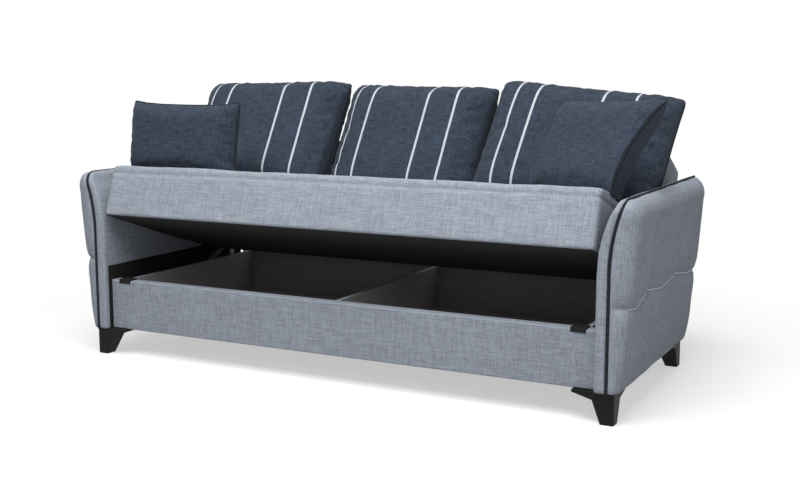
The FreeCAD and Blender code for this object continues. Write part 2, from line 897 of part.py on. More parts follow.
edge_x, wide_x = "NotchFace - DustInset", "SeatHalf - DustInset"
edge_y = "GearBoltY - SeatCorner - DustInset"
slab(
    "seat_dust_cover",
    "XY_Plane",
    "SeatUnderside - DustCover",
    "DustCover",
    [
        ("-(%s)" % wide_x, "SeatFront + DustInset"),
        (wide_x, "SeatFront + DustInset"),
        (wide_x, edge_y),
        (edge_x, edge_y),
        (edge_x, "SeatRear - DustInset"),
        ("-(%s)" % edge_x, "SeatRear - DustInset"),
        ("-(%s)" % edge_x, edge_y),
        ("-(%s)" % wide_x, edge_y),
    ],
    raised,
)


# Backrest: thicker at its head, its toe round about the knee so that it can lie back

knee = in_back(Vector(0, size("KneeY"), size("KneeZ")))
toe_radius = size("KneeY") - size("SeatRear") - size("ToeClearance")
taper = math.degrees(math.atan((size("BackHead") - size("BackFoot")) / size("BackHeight")))
behind = FreeCAD.Placement(
    Vector(0, size("BackFoot"), 0), FreeCAD.Rotation(tilt_axis, -taper)
)


def on_circle(centre, radius, degrees):
    """A point of a circle in the side view; zero degrees points to the rear."""
    angle = math.radians(degrees)
    return centre + Vector(0, math.cos(angle), math.sin(angle)) * radius


def back_foam():
    """The side outline carried across, with rounded ends."""
    half, high = size("SeatHalf"), size("BackHeight")
    foot, head = size("BackFoot"), size("BackHead")
    heel, round_top = size("BackCorner"), size("BackHeadCorner")
    toe_up = math.degrees(math.acos(knee.y / toe_radius))
    toe_down = math.degrees(math.asin(knee.z / toe_radius))
    toe_start = on_circle(knee, toe_radius, 180 + toe_up)
    toe_end = on_circle(knee, toe_radius, 180 + toe_down)
    lean = (head - foot) / high
    slant = 1 - math.sqrt(0.5)
    heel_low = Vector(0, foot - heel, 0)
    heel_high = Vector(0, foot + heel * lean, heel)
    rear_top = Vector(0, head - round_top * lean, high - round_top)
    top_rear = Vector(0, head - round_top, high)
    top_front = Vector(0, round_top, high)
    front_top = Vector(0, 0, high - round_top)
    sides = [
        arc(toe_start, on_circle(knee, toe_radius, 180 + (toe_up + toe_down) / 2), toe_end),
        line(toe_end, heel_low),
        arc(heel_low, Vector(0, foot - heel * slant, heel * slant), heel_high),
        line(heel_high, rear_top),
        arc(rear_top, Vector(0, head - round_top * slant, high - round_top * slant), top_rear),
        line(top_rear, top_front),
        arc(top_front, Vector(0, round_top * slant, high - round_top * slant), front_top),
        bulged(front_top, toe_start, Vector(0, -size("BackCrown"), 0)),
    ]
    face = Part.Face(Part.Wire(sides))
    face.translate(Vector(-half, 0, 0))
    foam = face.extrude(Vector(2 * half, 0, 0))
    for sign in (1, -1):
        end = [e for e in foam.Edges if e.BoundBox.XLength < 0.01 and sign * e.BoundBox.XMin > 0]
        foam = foam.makeFillet(size("SeatEndRound"), end)
    return foam


back_low, back_high = size("PocketMargin"), size("BackHeight") - size("PocketMargin")
cover = size("RearCover")
pocket_deep = size("PocketDepth") + cover
pocket = block((-pocket_half, -pocket_deep, back_low), (pocket_half, cover, back_high))
pocket.Placement = behind
back_bolts = [
    Vector(0, size("BackBoltY"), size("BackBoltZ")),
    Vector(0, size("BackBoltY"), size("BackBoltZ") + size("BackBoltStep")),
]
foam = back_foam()
foam = foam.cut(
    end_notches(
        size("NotchFace"),
        size("ArmInner"),
        (-size("BackHead"), -size("BackHead")),
        (2 * size("BackHead"), size("NotchLength")),
    )
)
foam = foam.cut(pocket)
foam = foam.cut(bolt_holes(back_bolts, bolt_radius + frame_fit, pocket_half, size("NotchFace")))
solid("back_upholstery", foam, leaning)

back_deep = back_high - back_low - 2 * frame_fit
lying = FreeCAD.Placement(
    Vector(0, -cover, back_low + frame_fit), FreeCAD.Rotation(tilt_axis, 90)
)
back_frame = welded_frame(
    pocket_half - frame_fit,
    back_deep,
    size("TubeWidth"),
    size("TubeHeight"),
    int(size("FrameBars")),
)
back_frame.Placement = behind * lying
back_frame = back_frame.cut(
    bolt_holes(back_bolts, bolt_radius, pocket_half - size("TubeWidth"), pocket_half)
)
solid("back_frame", back_frame, leaning)

back_slats = slat_row(
    pocket_half - size("TubeWidth"),
    back_deep,
    size("SlatWidth"),
    size("SlatThickness"),
    int(size("SlatCount")),
)
back_slats.translate(Vector(0, 0, size("TubeHeight")))
back_slats.Placement = behind * lying * back_slats.Placement
solid("back_slats", back_slats, leaning)

rear_cover = block(
    (-pocket_half + frame_fit, -cover, back_low + frame_fit),
    (pocket_half - frame_fit, 0, back_high - frame_fit),
)
rear_cover.Placement = behind
solid("back_rear_cover", rear_cover, leaning)


# Lifting gear at each end: a seat arm on a fixed bracket, a back arm on its knee, a spring

seat_arm_near = size("NotchFace")
seat_arm_far = seat_arm_near + size("PlateThickness")
back_arm_near = seat_arm_far + size("PlateGap")
back_arm_far = back_arm_near + size("PlateThickness")
bracket_near = back_arm_far + size("PlateGap")
bracket_far = bracket_near + size("PlateThickness")
spring_x = bracket_far + size("SpringRadius") - size("PlateThickness") / 2
knee_point = Vector(0, size("KneeY"), size("KneeZ"))
tail_point = pivot - Vector(0, 0, size("TailLength"))
hook_point = Vector(0, size("SpringHookY"), size("SpringHookZ"))
pin, fit = size("PinRadius"), size("PinFit")


def side_plate(points, sign, near, far):
    """A flat plate between two distances from the middle, cut to a straight-sided outline."""
    corners = [Vector(sign * near, p.y, p.z) for p in points]
    face = Part.Face(Part.makePolygon(corners + corners[:1]))
    return face.extrude(Vector(sign * (far - near), 0, 0))


def cross_rod(place, sign, near, far, radius):
    """A round bar across the sofa at a place in the side view."""
    return rod(
        Vector(sign * near, place.y, place.z), Vector(sign * far, place.y, place.z), radius
    )


def seat_arm(sign):
    """The plate bolted to the seat's end: both pivots, the bolt pads and the spring's tail."""
    near, far = seat_arm_near, seat_arm_far
    hub, wide = size("HubRadius"), size("PivotHubRadius")
    pad = size("TubeHeight") / 2 - size("PlateGap")
    front = gear_bolts[0] - Vector(0, pad - size("PlateThickness"), 0)
    tail = size("BoltHead") + size("PlateThickness")
    web = side_plate(
        [
            knee_point + Vector(0, -hub * 0.42, hub * 0.9),
            front + Vector(0, 0, pad),
            front - Vector(0, 0, pad),
            gear_bolts[1] + Vector(0, pad, -pad),
            pivot + Vector(0, -wide * 0.35, -wide * 0.93),
            pivot,
        ],
        sign,
        near,
        far,
    )
    lever = side_plate(
        [
            pivot + Vector(0, -tail, 0),
            tail_point + Vector(0, -tail, 0),
            tail_point + Vector(0, tail, 0),
            pivot + Vector(0, tail, 0),
        ],
        sign,
        near,
        far,
    )
    rounds = [
        cross_rod(knee_point, sign, near, far, hub),
        cross_rod(pivot, sign, near, far, wide),
        cross_rod(tail_point, sign, near, far, tail),
    ]
    plate = web.fuse([lever] + rounds).removeSplitter()
    for place, radius in (
        (pivot, pin + fit),
        (knee_point, pin),
        (tail_point, size("HookPinRadius")),
        (gear_bolts[0], bolt_radius),
        (gear_bolts[1], bolt_radius),
    ):
        plate = plate.cut(cross_rod(place, sign, near, far, radius))
    return plate


def toothed_quadrant(sign):
    """Ratchet teeth on a quarter disc round the knee, in the backrest's own frame."""
    root = size("QuadrantRadius") - size("ToothDepth")
    teeth, start = int(size("ToothCount")), size("QuadrantStart")
    pitch = size("QuadrantSpan") / teeth
    points = [knee, on_circle(knee, root, start)]
    for i in range(teeth):
        here = start + i * pitch
        points.append(on_circle(knee, size("QuadrantRadius"), here + pitch * 0.2))
        points.append(on_circle(knee, size("QuadrantRadius"), here + pitch * 0.45))
        points.append(on_circle(knee, root, here + pitch))
    return side_plate(points, sign, back_arm_near, back_arm_far)


def back_arm(sign):
    """The cranked plate that carries the backrest, with its quadrant and its spacer."""
    near, far = back_arm_near, back_arm_far
    half = size("BackArmWidth") / 2
    low = back_bolts[0].z - half
    high = back_bolts[1].z + half
    middle = (low + high) / 2
    rear = back_bolts[0].y + half
    crank = side_plate(
        [
            Vector(0, knee.y - half, knee.z),
            Vector(0, knee.y + half, knee.z),
            Vector(0, knee.y + half, middle - half),
            Vector(0, rear - 2 * half, middle - half),
            Vector(0, rear - 2 * half, low),
            Vector(0, rear, low),
            Vector(0, rear, high),
            Vector(0, rear - 2 * half, high),
            Vector(0, rear - 2 * half, middle + half),
            Vector(0, knee.y, middle + half),
            Vector(0, knee.y - half, middle),
        ],
        sign,
        near,
        far,
    )
    spacer = side_plate(
        [
            Vector(0, rear - 2 * half, low),
            Vector(0, rear, low),
            Vector(0, rear, high),
            Vector(0, rear - 2 * half, high),
        ],
        sign,
        seat_arm_near,
        near,
    )
    plate = crank.fuse(
        [spacer, toothed_quadrant(sign), cross_rod(knee, sign, near, far, size("HubRadius"))]
    ).removeSplitter()
    plate = plate.cut(cross_rod(knee, sign, near, far, pin + fit))
    for place in back_bolts:
        plate = plate.cut(cross_rod(place, sign, seat_arm_near, far, bolt_radius))
    return plate


bracket_front = size("PivotY") + size("BracketFootSetback")
bracket_rear = bracket_front + size("BracketFootWidth")
bracket_low = size("PanelTop") - size("BracketFootRise")
bracket_bolts = [
    Vector(0, (bracket_front + bracket_rear) / 2, bracket_low + size("BracketFootRise") * share)
    for share in (0.2, 0.7)
]


def base_bracket(sign):
    """The fixed plate: a foot bolted through its packing to the side panel, and a hub."""
    hub = size("HubRadius")
    web = side_plate(
        [
            pivot,
            pivot + Vector(0, hub * 0.35, hub * 0.93),
            Vector(0, bracket_rear, size("PivotZ") - hub * 2),
            Vector(0, bracket_rear, bracket_low),
            Vector(0, bracket_front, bracket_low),
            Vector(0, bracket_front, size("PivotZ") - hub * 1.7),
        ],
        sign,
        bracket_near,
        bracket_far,
    )
    plate = web.fuse(cross_rod(pivot, sign, bracket_near, bracket_far, hub)).removeSplitter()
    plate = plate.cut(cross_rod(pivot, sign, bracket_near, bracket_far, pin))
    for place in bracket_bolts:
        plate = plate.cut(cross_rod(place, sign, bracket_near, bracket_far, bolt_radius))
    return plate


def packing(sign):
    """A hardwood block between the side panel and the bracket's foot."""
    rise = size("PanelTop") - size("CoverSkin")
    piece = side_plate(
        [
            Vector(0, bracket_front, bracket_low),
            Vector(0, bracket_rear, bracket_low),
            Vector(0, bracket_rear, rise),
            Vector(0, bracket_front, rise),
        ],
        sign,
        size("PanelOuter"),
        bracket_near,
    )
    for place in bracket_bolts:
        piece = piece.cut(cross_rod(place, sign, size("PanelOuter"), bracket_near, bolt_radius))
    return piece


def pivot_pin(sign):
    """A shouldered pin, fixed in the bracket, that the seat arm turns on."""
    shoulder = cross_rod(pivot, sign, seat_arm_far + fit, bracket_near, pin * 1.5)
    head = cross_rod(pivot, sign, bracket_far, bracket_far + size("BoltHeadRise"), pin * 1.6)
    shank = cross_rod(pivot, sign, seat_arm_near + size("PlateGap") / 2, bracket_far, pin)
    return shank.fuse([shoulder, head]).removeSplitter()


def knee_pin(sign):
    """A rivet, fixed in the seat arm, that the back arm turns on."""
    shank = cross_rod(
        knee_point, sign, seat_arm_near + size("PlateGap") / 2, back_arm_far + size("SoftFit"), pin
    )
    head_start = back_arm_far + size("SoftFit")
    head = cross_rod(knee_point, sign, head_start, head_start + size("PinHeadRise"), pin * 1.6)
    collar = cross_rod(knee_point, sign, seat_arm_far, back_arm_near - fit, pin * 1.4)
    return shank.fuse([head, collar]).removeSplitter()


def pawl(sign):
    """A catch on the seat arm whose nose points at the quadrant's teeth."""
    toward = 180 + size("PawlAngle")
    nose = on_circle(knee_point, size("QuadrantRadius") + size("PawlClearance"), toward)
    seat_of_pawl = on_circle(knee_point, size("QuadrantRadius") + size("PawlLength"), toward)
    side = (seat_of_pawl - nose).cross(Vector(1, 0, 0))
    side.normalize()
    wide = size("ToothDepth")
    plate = side_plate(
        [nose, seat_of_pawl + side * wide, seat_of_pawl - side * wide],
        sign,
        seat_arm_far,
        back_arm_far,
    )
    boss = cross_rod(seat_of_pawl, sign, seat_arm_far, back_arm_far, wide * 1.3)
    return plate.fuse(boss).removeSplitter()


def bolt(place, sign, near, head_near):
    """A bolt with a round head, from a hidden end out to its head."""
    shank = cross_rod(place, sign, near, head_near, bolt_radius)
    head_far = head_near + size("BoltHeadRise")
    return shank.fuse(cross_rod(place, sign, head_near, head_far, size("BoltHead")))


def hook_pin(place, sign, near):
    """A headed pin that one end of the spring hangs on."""
    radius, far = size("HookPinRadius"), spring_x + size("HookPinRadius")
    shank = cross_rod(place, sign, near, far, radius)
    return shank.fuse(cross_rod(place, sign, far, far + size("PinHeadRise"), radius * 1.5))


def biarc(start, leave, end, arrive):
    """Two arcs that leave one point and reach another in given directions."""
    chord, both = end - start, leave + arrive
    straight = 2 * (1 - leave.dot(arrive))
    along = chord.dot(both)
    reach = (math.sqrt(along**2 + straight * chord.dot(chord)) - along) / straight
    first, last = start + leave * reach, end - arrive * reach
    joint = (first + last) * 0.5
    edges = []
    for near, apex, far in ((start, first, joint), (joint, last, end)):
        middle = (near + far) * 0.5
        half_chord = (far - near).Length / 2
        bend = math.acos(half_chord / reach)
        edges.append(arc(near, middle + (apex - middle) * (math.tan(bend / 2) / math.tan(bend)), far))
    return edges


def self_gap(centre_line, wire, half_turn):
    """Least space between stretches of a tube over half a turn apart along it."""
    points = centre_line.discretize(Number=700)
    skip = int(half_turn / centre_line.Length * len(points)) + 1
    nearest = min(
        point.distanceToPoint(other)
        for i, point in enumerate(points)
        for other in points[i + skip :]
    )
    return nearest - 2 * wire


def lift_spring(sign):
    """An extension spring between the side panel and the tail, hooked over both pins."""
    start = Vector(sign * spring_x, hook_point.y, hook_point.z)
    tail_now = raised.multVec(tail_point) - to_frame
    end = Vector(sign * spring_x, tail_now.y, tail_now.z)
    along = end - start
    length = along.Length
    along.normalize()
    across = Vector(sign, 0, 0)
    upward = along.cross(across) * -sign
    wire = size("SpringWire")
    hook = size("HookPinRadius") + wire + size("SoftFit")
    radius = size("SpringRadius")
    turns = int(size("SpringTurns"))
    lead = hook + size("SpringLead")
    pitch = (length - 2 * lead) / turns

    def coil(quarters):
        """A point of the coil and its direction there, counted in quarter turns."""
        angle = quarters * math.pi / 2
        ahead = lead + pitch * quarters / 4
        spot = upward * math.cos(angle) + across * math.sin(angle)
        turning = across * math.cos(angle) - upward * math.sin(angle)
        way = along * (pitch / (2 * math.pi)) + turning * radius
        way.normalize()
        return start + along * ahead + spot * radius, way

    knots = [coil(i) for i in range(4 * turns + 1)]
    leave = start + along * hook + upward * hook
    reach = end - along * hook + upward * hook
    path = [
        arc(start - upward * hook, start - along * hook, start + upward * hook),
        line(start + upward * hook, leave),
    ]
    path += biarc(leave, along, *knots[0])
    for here, there in zip(knots, knots[1:]):
        path += biarc(here[0], here[1], there[0], there[1])
    path += biarc(knots[-1][0], knots[-1][1], reach, along)
    path += [
        line(reach, end + upward * hook),
        arc(end + upward * hook, end + along * hook, end - upward * hook),
    ]
    centre_line = Part.Wire(path)
    gap = self_gap(centre_line, wire, math.pi * radius)
    print("lift spring: least gap between its turns %.2f mm" % gap)
    return round_tube(centre_line, wire)


pivot_pins, knee_pins, pawls, hook_pins, tail_pins = [], [], [], [], []
seat_bolts, frame_bolts, bracket_screws, packings = [], [], [], []
bolt_end = pocket_half - size("TubeWidth") / 2
for side, sign in SIDES:
    solid("seat_arm_" + side, seat_arm(sign), raised)
    solid("back_arm_" + side, back_arm(sign), leaning)
    solid("base_bracket_" + side, base_bracket(sign), standing)
    solid("lift_spring_" + side, lift_spring(sign), standing)
    packings.append(packing(sign))
    pivot_pins.append(pivot_pin(sign))
    knee_pins.append(knee_pin(sign))
    pawls.append(pawl(sign))
    hook_pins.append(hook_pin(hook_point, sign, size("PanelOuter")))
    tail_pins.append(hook_pin(tail_point, sign, seat_arm_near + size("PlateGap") / 2))
    seat_bolts += [bolt(place, sign, bolt_end, seat_arm_far) for place in gear_bolts]
    frame_bolts += [bolt(place, sign, bolt_end, back_arm_far) for place in back_bolts]
    bracket_screws += [
        bolt(place, sign, size("PanelOuter"), bracket_far) for place in bracket_bolts
    ]
solid("bracket_packings", Part.Compound(packings), standing)
solid("pivot_pins", Part.Compound(pivot_pins), standing)
solid("spring_hook_pins", Part.Compound(hook_pins), standing)
solid("gear_bracket_bolts", Part.Compound(bracket_screws), standing)
solid("knee_pins", Part.Compound(knee_pins), raised)
solid("pawls", Part.Compound(pawls), raised)
solid("spring_tail_pins", Part.Compound(tail_pins), raised)
solid("seat_bolts", Part.Compound(seat_bolts), raised)
solid("back_bolts", Part.Compound(frame_bolts), leaning)


# Loose cushions: crowned, drawn in at their sides, flat where they rest on seat and back


def cushion_form(width, height, thick, pull, corner):
    """A loft of flat rings up the cushion, each of six arcs that meet at the side seams."""
    rings = []
    for share in (-1.0, -0.93, -0.75, -0.4, 0.0, 0.4, 0.75, 0.93, 1.0):
        up = abs(share)
        half = width / 2 - pull * (1 - up**2) - corner * up**8
        deep = thick / 2 * ((1 - up**2.6) ** 0.55 * 0.93 + 0.07)
        edge = deep * 0.8
        shoulder = half * 0.72
        z = share * height / 2
        sides = []
        for way in (1, -1):
            points = [
                Vector(-way * half, 0, z),
                Vector(-way * shoulder, way * edge, z),
                Vector(way * shoulder, way * edge, z),
                Vector(way * half, 0, z),
            ]
            bow = Vector(-way * 0.5, way * 0.85, 0) * (edge * 0.22)
            sides.append(bulged(points[0], points[1], bow))
            sides.append(bulged(points[1], points[2], Vector(0, way * (deep - edge), 0)))
            sides.append(bulged(points[2], points[3], Vector(-bow.x, bow.y, 0)))
        rings.append(Part.Wire(sides))
    return Part.makeLoft(rings, True, False)


def set_down(form, foot, yaw, lean, roll, height, lean_on_back):
    """Stands a cushion on the lowered seat and presses it flat where it touches."""
    turn = (
        FreeCAD.Rotation(Vector(0, 0, 1), yaw)
        * FreeCAD.Rotation(tilt_axis, -lean)
        * FreeCAD.Rotation(Vector(0, 1, 0), roll)
    )
    form.Placement = FreeCAD.Placement(foot, turn) * FreeCAD.Placement(
        Vector(0, 0, height / 2), FreeCAD.Rotation()
    )
    reach = size("SeatOpening")
    clear = size("SoftFit")
    pressed = whole_seat.copy()
    pressed.translate(Vector(0, 0, clear))
    form = form.cut(pressed)
    for side, sign in SIDES:
        xs = sorted((sign * size("SeatHalf"), sign * reach))
        form = form.cut(block((xs[0], -reach, 0), (xs[1], reach, reach)))
    if lean_on_back:
        rest = block((-reach, -size("BackCrown") - clear, -reach), (reach, reach, reach))
        rest.Placement = FreeCAD.Placement(
            back_corner, FreeCAD.Rotation(tilt_axis, -size("BackRecline"))
        )
        form = form.cut(rest)
    return form


foot_level = size("SeatTop") + size("SeatCrown") - size("CushionSink")
for name, yaw, lean, roll in (
    ("Left", 2, 14.8, -2.1),
    ("Middle", -3, 10.2, 1.8),
    ("Right", 2, 12.7, 5.3),
):
    form = cushion_form(
        size("CushionWidth"),
        size("CushionHeight"),
        size("CushionThickness"),
        size("CushionPull"),
        size("CushionCorner"),
    )
    behind = size("SeatRear") - size("Cushion%sAhead" % name)
    foot = Vector(size("Cushion%sX" % name), behind, foot_level)
    form = set_down(form, foot, yaw, lean, roll, size("CushionHeight"), True)
    solid("back_cushion_" + name.lower(), form, raised)

for label, name, yaw, lean, roll in (
    ("throw_pillow_left", "SmallPillow", 0, -9.5, 0.4),
    ("throw_pillow_right", "TallPillow", -33, 9, -1.5),
):
    height = size(name + "Height")
    form = cushion_form(
        size(name + "Width"), height, size(name + "Thickness"), size("CushionPull"), 0
    )
    behind = size("SeatFront") + size(name + "Behind")
    foot = Vector(size(name + "X"), behind, foot_level)
    solid(label, set_down(form, foot, yaw, lean, roll, height, False), raised)


# Every object has to be sound before a piece is written

doc.recompute()
for item in doc.Objects:
    if "Invalid" in item.State or "Error" in item.State:
        raise RuntimeError("%s did not build" % item.Label)
for piece in pieces:
    if piece.Shape.isNull() or not piece.Shape.isValid() or not piece.Shape.Solids:
        raise RuntimeError("%s is not a sound solid" % piece.Label)

os.makedirs("parts", exist_ok=True)
for piece in pieces:
    piece.Shape.exportStep(os.path.join("parts", piece.Label + ".step"))
print("%d pieces written" % len(pieces))
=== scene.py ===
import json
import math

import bmesh
import bpy
import numpy as np
from mathutils import Euler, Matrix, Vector
from mathutils.bvhtree import BVHTree


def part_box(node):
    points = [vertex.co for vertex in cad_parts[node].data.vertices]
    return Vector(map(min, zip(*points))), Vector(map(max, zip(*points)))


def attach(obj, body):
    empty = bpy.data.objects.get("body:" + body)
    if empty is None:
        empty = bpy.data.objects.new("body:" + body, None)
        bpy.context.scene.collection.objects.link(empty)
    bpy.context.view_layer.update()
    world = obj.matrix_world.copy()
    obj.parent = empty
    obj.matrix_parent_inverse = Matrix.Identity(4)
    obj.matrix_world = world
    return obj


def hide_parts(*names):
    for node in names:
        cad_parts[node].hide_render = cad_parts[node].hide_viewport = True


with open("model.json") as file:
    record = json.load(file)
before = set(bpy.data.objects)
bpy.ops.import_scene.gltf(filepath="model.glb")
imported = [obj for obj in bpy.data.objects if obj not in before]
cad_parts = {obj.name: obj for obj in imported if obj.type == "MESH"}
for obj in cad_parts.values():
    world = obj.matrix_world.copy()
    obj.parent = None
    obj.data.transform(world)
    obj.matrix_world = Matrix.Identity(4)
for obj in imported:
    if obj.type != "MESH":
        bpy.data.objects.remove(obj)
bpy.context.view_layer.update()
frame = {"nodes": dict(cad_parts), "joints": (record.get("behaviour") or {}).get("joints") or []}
nodes = frame["nodes"]
joints = {joint["name"]: joint for joint in frame["joints"]}


# Linen: the sofa is upholstered in a woven melange, pale and dark yarns in both directions,
# with slubs a few centimetres long. All the cloth that shows is this weave in one of its colours.

class Number:
    """A number that varies over a surface; arithmetic on it adds Math nodes."""

    def __init__(self, finish, socket):
        self.finish = finish
        self.socket = socket

    def math(self, operation, *values):
        return self.finish.node("ShaderNodeMath", {"operation": operation}, values)

    def __add__(self, other):
        return self.math("ADD", self, other)

    def __sub__(self, other):
        return self.math("SUBTRACT", self, other)

    def __rsub__(self, other):
        return self.math("SUBTRACT", other, self)

    def __mul__(self, other):
        return self.math("MULTIPLY", self, other)

    def __gt__(self, other):
        return self.math("GREATER_THAN", self, other)

    def __lt__(self, other):
        return self.math("LESS_THAN", self, other)

    def distance(self, other):
        return self.math("ABSOLUTE", self - other)

    __radd__ = __add__
    __rmul__ = __mul__


class Finish:
    """A procedural material round one Principled shader."""

    def __init__(self, name, roughness, metallic=0.0, **fixed):
        self.material = bpy.data.materials.new(name)
        self.material.use_nodes = True
        self.tree = self.material.node_tree
        self.shader = self.tree.nodes["Principled BSDF"]
        self.shader.inputs["Roughness"].default_value = roughness
        self.shader.inputs["Metallic"].default_value = metallic
        for socket, value in fixed.items():
            self.shader.inputs[socket.replace("_", " ")].default_value = value

    def put(self, socket, value):
        if isinstance(value, Number):
            self.tree.links.new(value.socket, socket)
        else:
            socket.default_value = value

    def node(self, kind, settings, values, output=0):
        """Adds a node: first its settings, then the values or links of its sockets."""
        made = self.tree.nodes.new(kind)
        for name, value in settings.items():
            setattr(made, name, value)
        pairs = values.items() if isinstance(values, dict) else enumerate(values)
        for key, value in pairs:
            self.put(made.inputs[key], value)
        return Number(self, made.outputs[output])

    def place(self):
        return self.node("ShaderNodeTexCoord", {}, {}, "Object")

    def scaled(self, vector, factors):
        return self.node("ShaderNodeVectorMath", {"operation": "MULTIPLY"}, [vector, factors])

    def noise(self, vector, scale, detail=2.0):
        values = {"Vector": vector, "Scale": scale, "Detail": detail}
        return self.node("ShaderNodeTexNoise", {}, values)

    def part(self, vector, axis):
        return self.node("ShaderNodeSeparateXYZ", {}, [vector], axis)

    def blend(self, factor, first, second):
        return self.node("ShaderNodeMix", {"data_type": "RGBA"}, {0: factor, 6: first, 7: second}, 2)

    def ramp(self, factor, low, high):
        values = {"Value": factor, "From Min": low, "From Max": high}
        return self.node("ShaderNodeMapRange", {"clamp": True}, values)

    def colour(self, value):
        self.put(self.shader.inputs["Base Color"], value)

    def relief(self, height, distance, strength=1.0):
        values = {"Height": height, "Distance": distance, "Strength": strength}
        self.put(self.shader.inputs["Normal"], self.node("ShaderNodeBump", {}, values))


def paint(red, green, blue):
    """A colour as a screen shows it, 0 to 255, in the renderer's linear values."""
    return tuple(np.power(np.array([red, green, blue]) / 255, 2.2)) + (1.0,)


YARNS = 300  # to the metre
WEAVE_SCALE = 700.0
CLOUD_SCALE = 9.0
MELANGE_RANGE = (1.50, 2.15)  # the sum of the noises at the dark and at the pale yarn
YARN_RELIEF = 0.0006


def linen(name, pale, dark, place=None, slub=0.05):
    """Yarns along X, Y and Z, each a noise drawn out to a slub's length, over a fine one."""
    finish = Finish(name, 0.95, Sheen_Weight=0.03, Sheen_Roughness=0.5)
    at = place(finish) if place else finish.place()
    drawn = 1 / slub
    yarns = [
        finish.noise(finish.scaled(at, factors), 1.0)
        for factors in ((drawn, YARNS, YARNS), (YARNS, drawn, YARNS), (YARNS, YARNS, drawn))
    ]
    melange = yarns[0] + yarns[1] + yarns[2]
    cloud = finish.noise(at, CLOUD_SCALE, 3.0)
    weave = finish.noise(at, WEAVE_SCALE, 1.0)
    shade = finish.ramp(melange + cloud * 0.25 + weave * 0.4, *MELANGE_RANGE)
    finish.colour(finish.blend(shade, dark, pale))
    finish.relief(melange, YARN_RELIEF, 0.6)
    return finish


def laid_flat(finish):
    """Coordinates that a tilted piece would have if it lay level."""
    return finish.node("ShaderNodeAttribute", {"attribute_name": "level"}, {}, 1)


LINEN_PALE, LINEN_DARK = paint(144, 151, 161), paint(112, 118, 128)
body_linen = linen("grey_linen", LINEN_PALE, LINEN_DARK)
tilted_linen = linen("grey_linen_on_tilted_pieces", LINEN_PALE, LINEN_DARK, laid_flat)


# The base: the front rail is wrapped in the linen. The box behind it is dark laminated
# board with pale tape on its top edges, closed at the arms by black lining cloth.

def dress(node, finish):
    """Gives a CAD node a finish."""
    mesh = nodes[node].data
    mesh.materials.clear()
    mesh.materials.append(finish.material)


EDGE_TAPE = paint(150, 160, 170)
EDGE_TAPE_DEPTH = 0.0015
OUTER_FACE = paint(34, 33, 34)
OUTER_FACE_DEPTH = 0.002
# The floor panels are the walls' board painted paler: painted light, standing in for the light that
# reaches the floor of the box less than its walls.
WALL_SHADE, FLOOR_TONE_WITH_PAINTED_LIGHT = 136, 178


def laminate(name, shade):
    """Dusty board with pale tape on its top edges; the back wall's outer face is darker."""
    finish = Finish(name, 0.5)
    at = finish.place()
    grain = finish.noise(finish.scaled(at, (8, 3, 60)), 1.0, 4.0)
    dark = paint(shade, shade - 5, shade - 2)
    pale = paint(shade + 22, shade + 16, shade + 19)
    board = finish.blend(grain, dark, pale)
    taped = finish.part(at, "Z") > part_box("divider")[1].z - EDGE_TAPE_DEPTH
    outside = finish.part(at, "Y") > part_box("back_wall")[1].y - OUTER_FACE_DEPTH
    board = finish.blend(outside, board, OUTER_FACE)
    finish.colour(finish.blend(taped, board, EDGE_TAPE))
    finish.relief(grain, 0.0003, 0.3)
    return finish


dark_laminate = laminate("dark_laminate", WALL_SHADE)
for node in ("side_panel_left", "side_panel_right", "divider", "back_wall"):
    dress(node, dark_laminate)
# Painted light: the same board as the walls, paler on the floor panels, which get less light.
painted_light_floor_laminate = laminate("painted_light_floor_laminate", FLOOR_TONE_WITH_PAINTED_LIGHT)
for node in ("floor_panel_left", "floor_panel_right"):
    dress(node, painted_light_floor_laminate)
dress("front_rail_cover", body_linen)


def raw_board():
    """Pale pine and particle board that stays out of sight, with a long grain."""
    finish = Finish("raw_board", 0.75)
    at = finish.place()
    grain = finish.noise(finish.scaled(at, (6, 6, 90)), 1.0, 5.0)
    finish.colour(finish.blend(grain, paint(150, 120, 84), paint(196, 168, 126)))
    finish.relief(grain, 0.0004, 0.4)
    return finish


pine = raw_board()
for node in (
    "front_rail_board",
    "corner_blocks",
    "arm_board_left",
    "arm_board_right",
    "bracket_packings",
    "seat_slats",
    "back_slats",
):
    dress(node, pine)


def felt(name, shade):
    """Black spun cloth: a fine random nap."""
    finish = Finish(name, 0.95)
    nap = finish.noise(finish.place(), 700.0, 3.0)
    pale = paint(shade + 8, shade + 8, shade + 9)
    finish.colour(finish.blend(nap, paint(shade, shade, shade), pale))
    finish.relief(nap, 0.0004, 0.5)
    return finish


black_felt = felt("black_lining_cloth", 5)
for node in ("arm_lining_left", "arm_lining_right", "seat_dust_cover", "back_rear_cover"):
    dress(node, black_felt)


# Hardware: pressed steel plates with a brushed zinc finish, springs of bright wire, and
# frames of black painted tube. The plates are bolted on and turn on shouldered pins.

def steel(name, pale, dark, rough, metallic):
    """Brushed metal: fine scratches change both its shade and its gloss."""
    finish = Finish(name, rough, metallic)
    scratches = finish.noise(finish.scaled(finish.place(), (300, 40, 900)), 1.0, 4.0)
    smudge = finish.noise(finish.place(), 30.0, 3.0)
    finish.colour(finish.blend(scratches * 0.6 + smudge * 0.4, dark, pale))
    finish.put(finish.shader.inputs["Roughness"], smudge * 0.25 + (rough - 0.1))
    finish.relief(scratches, 0.0002, 0.25)
    return finish


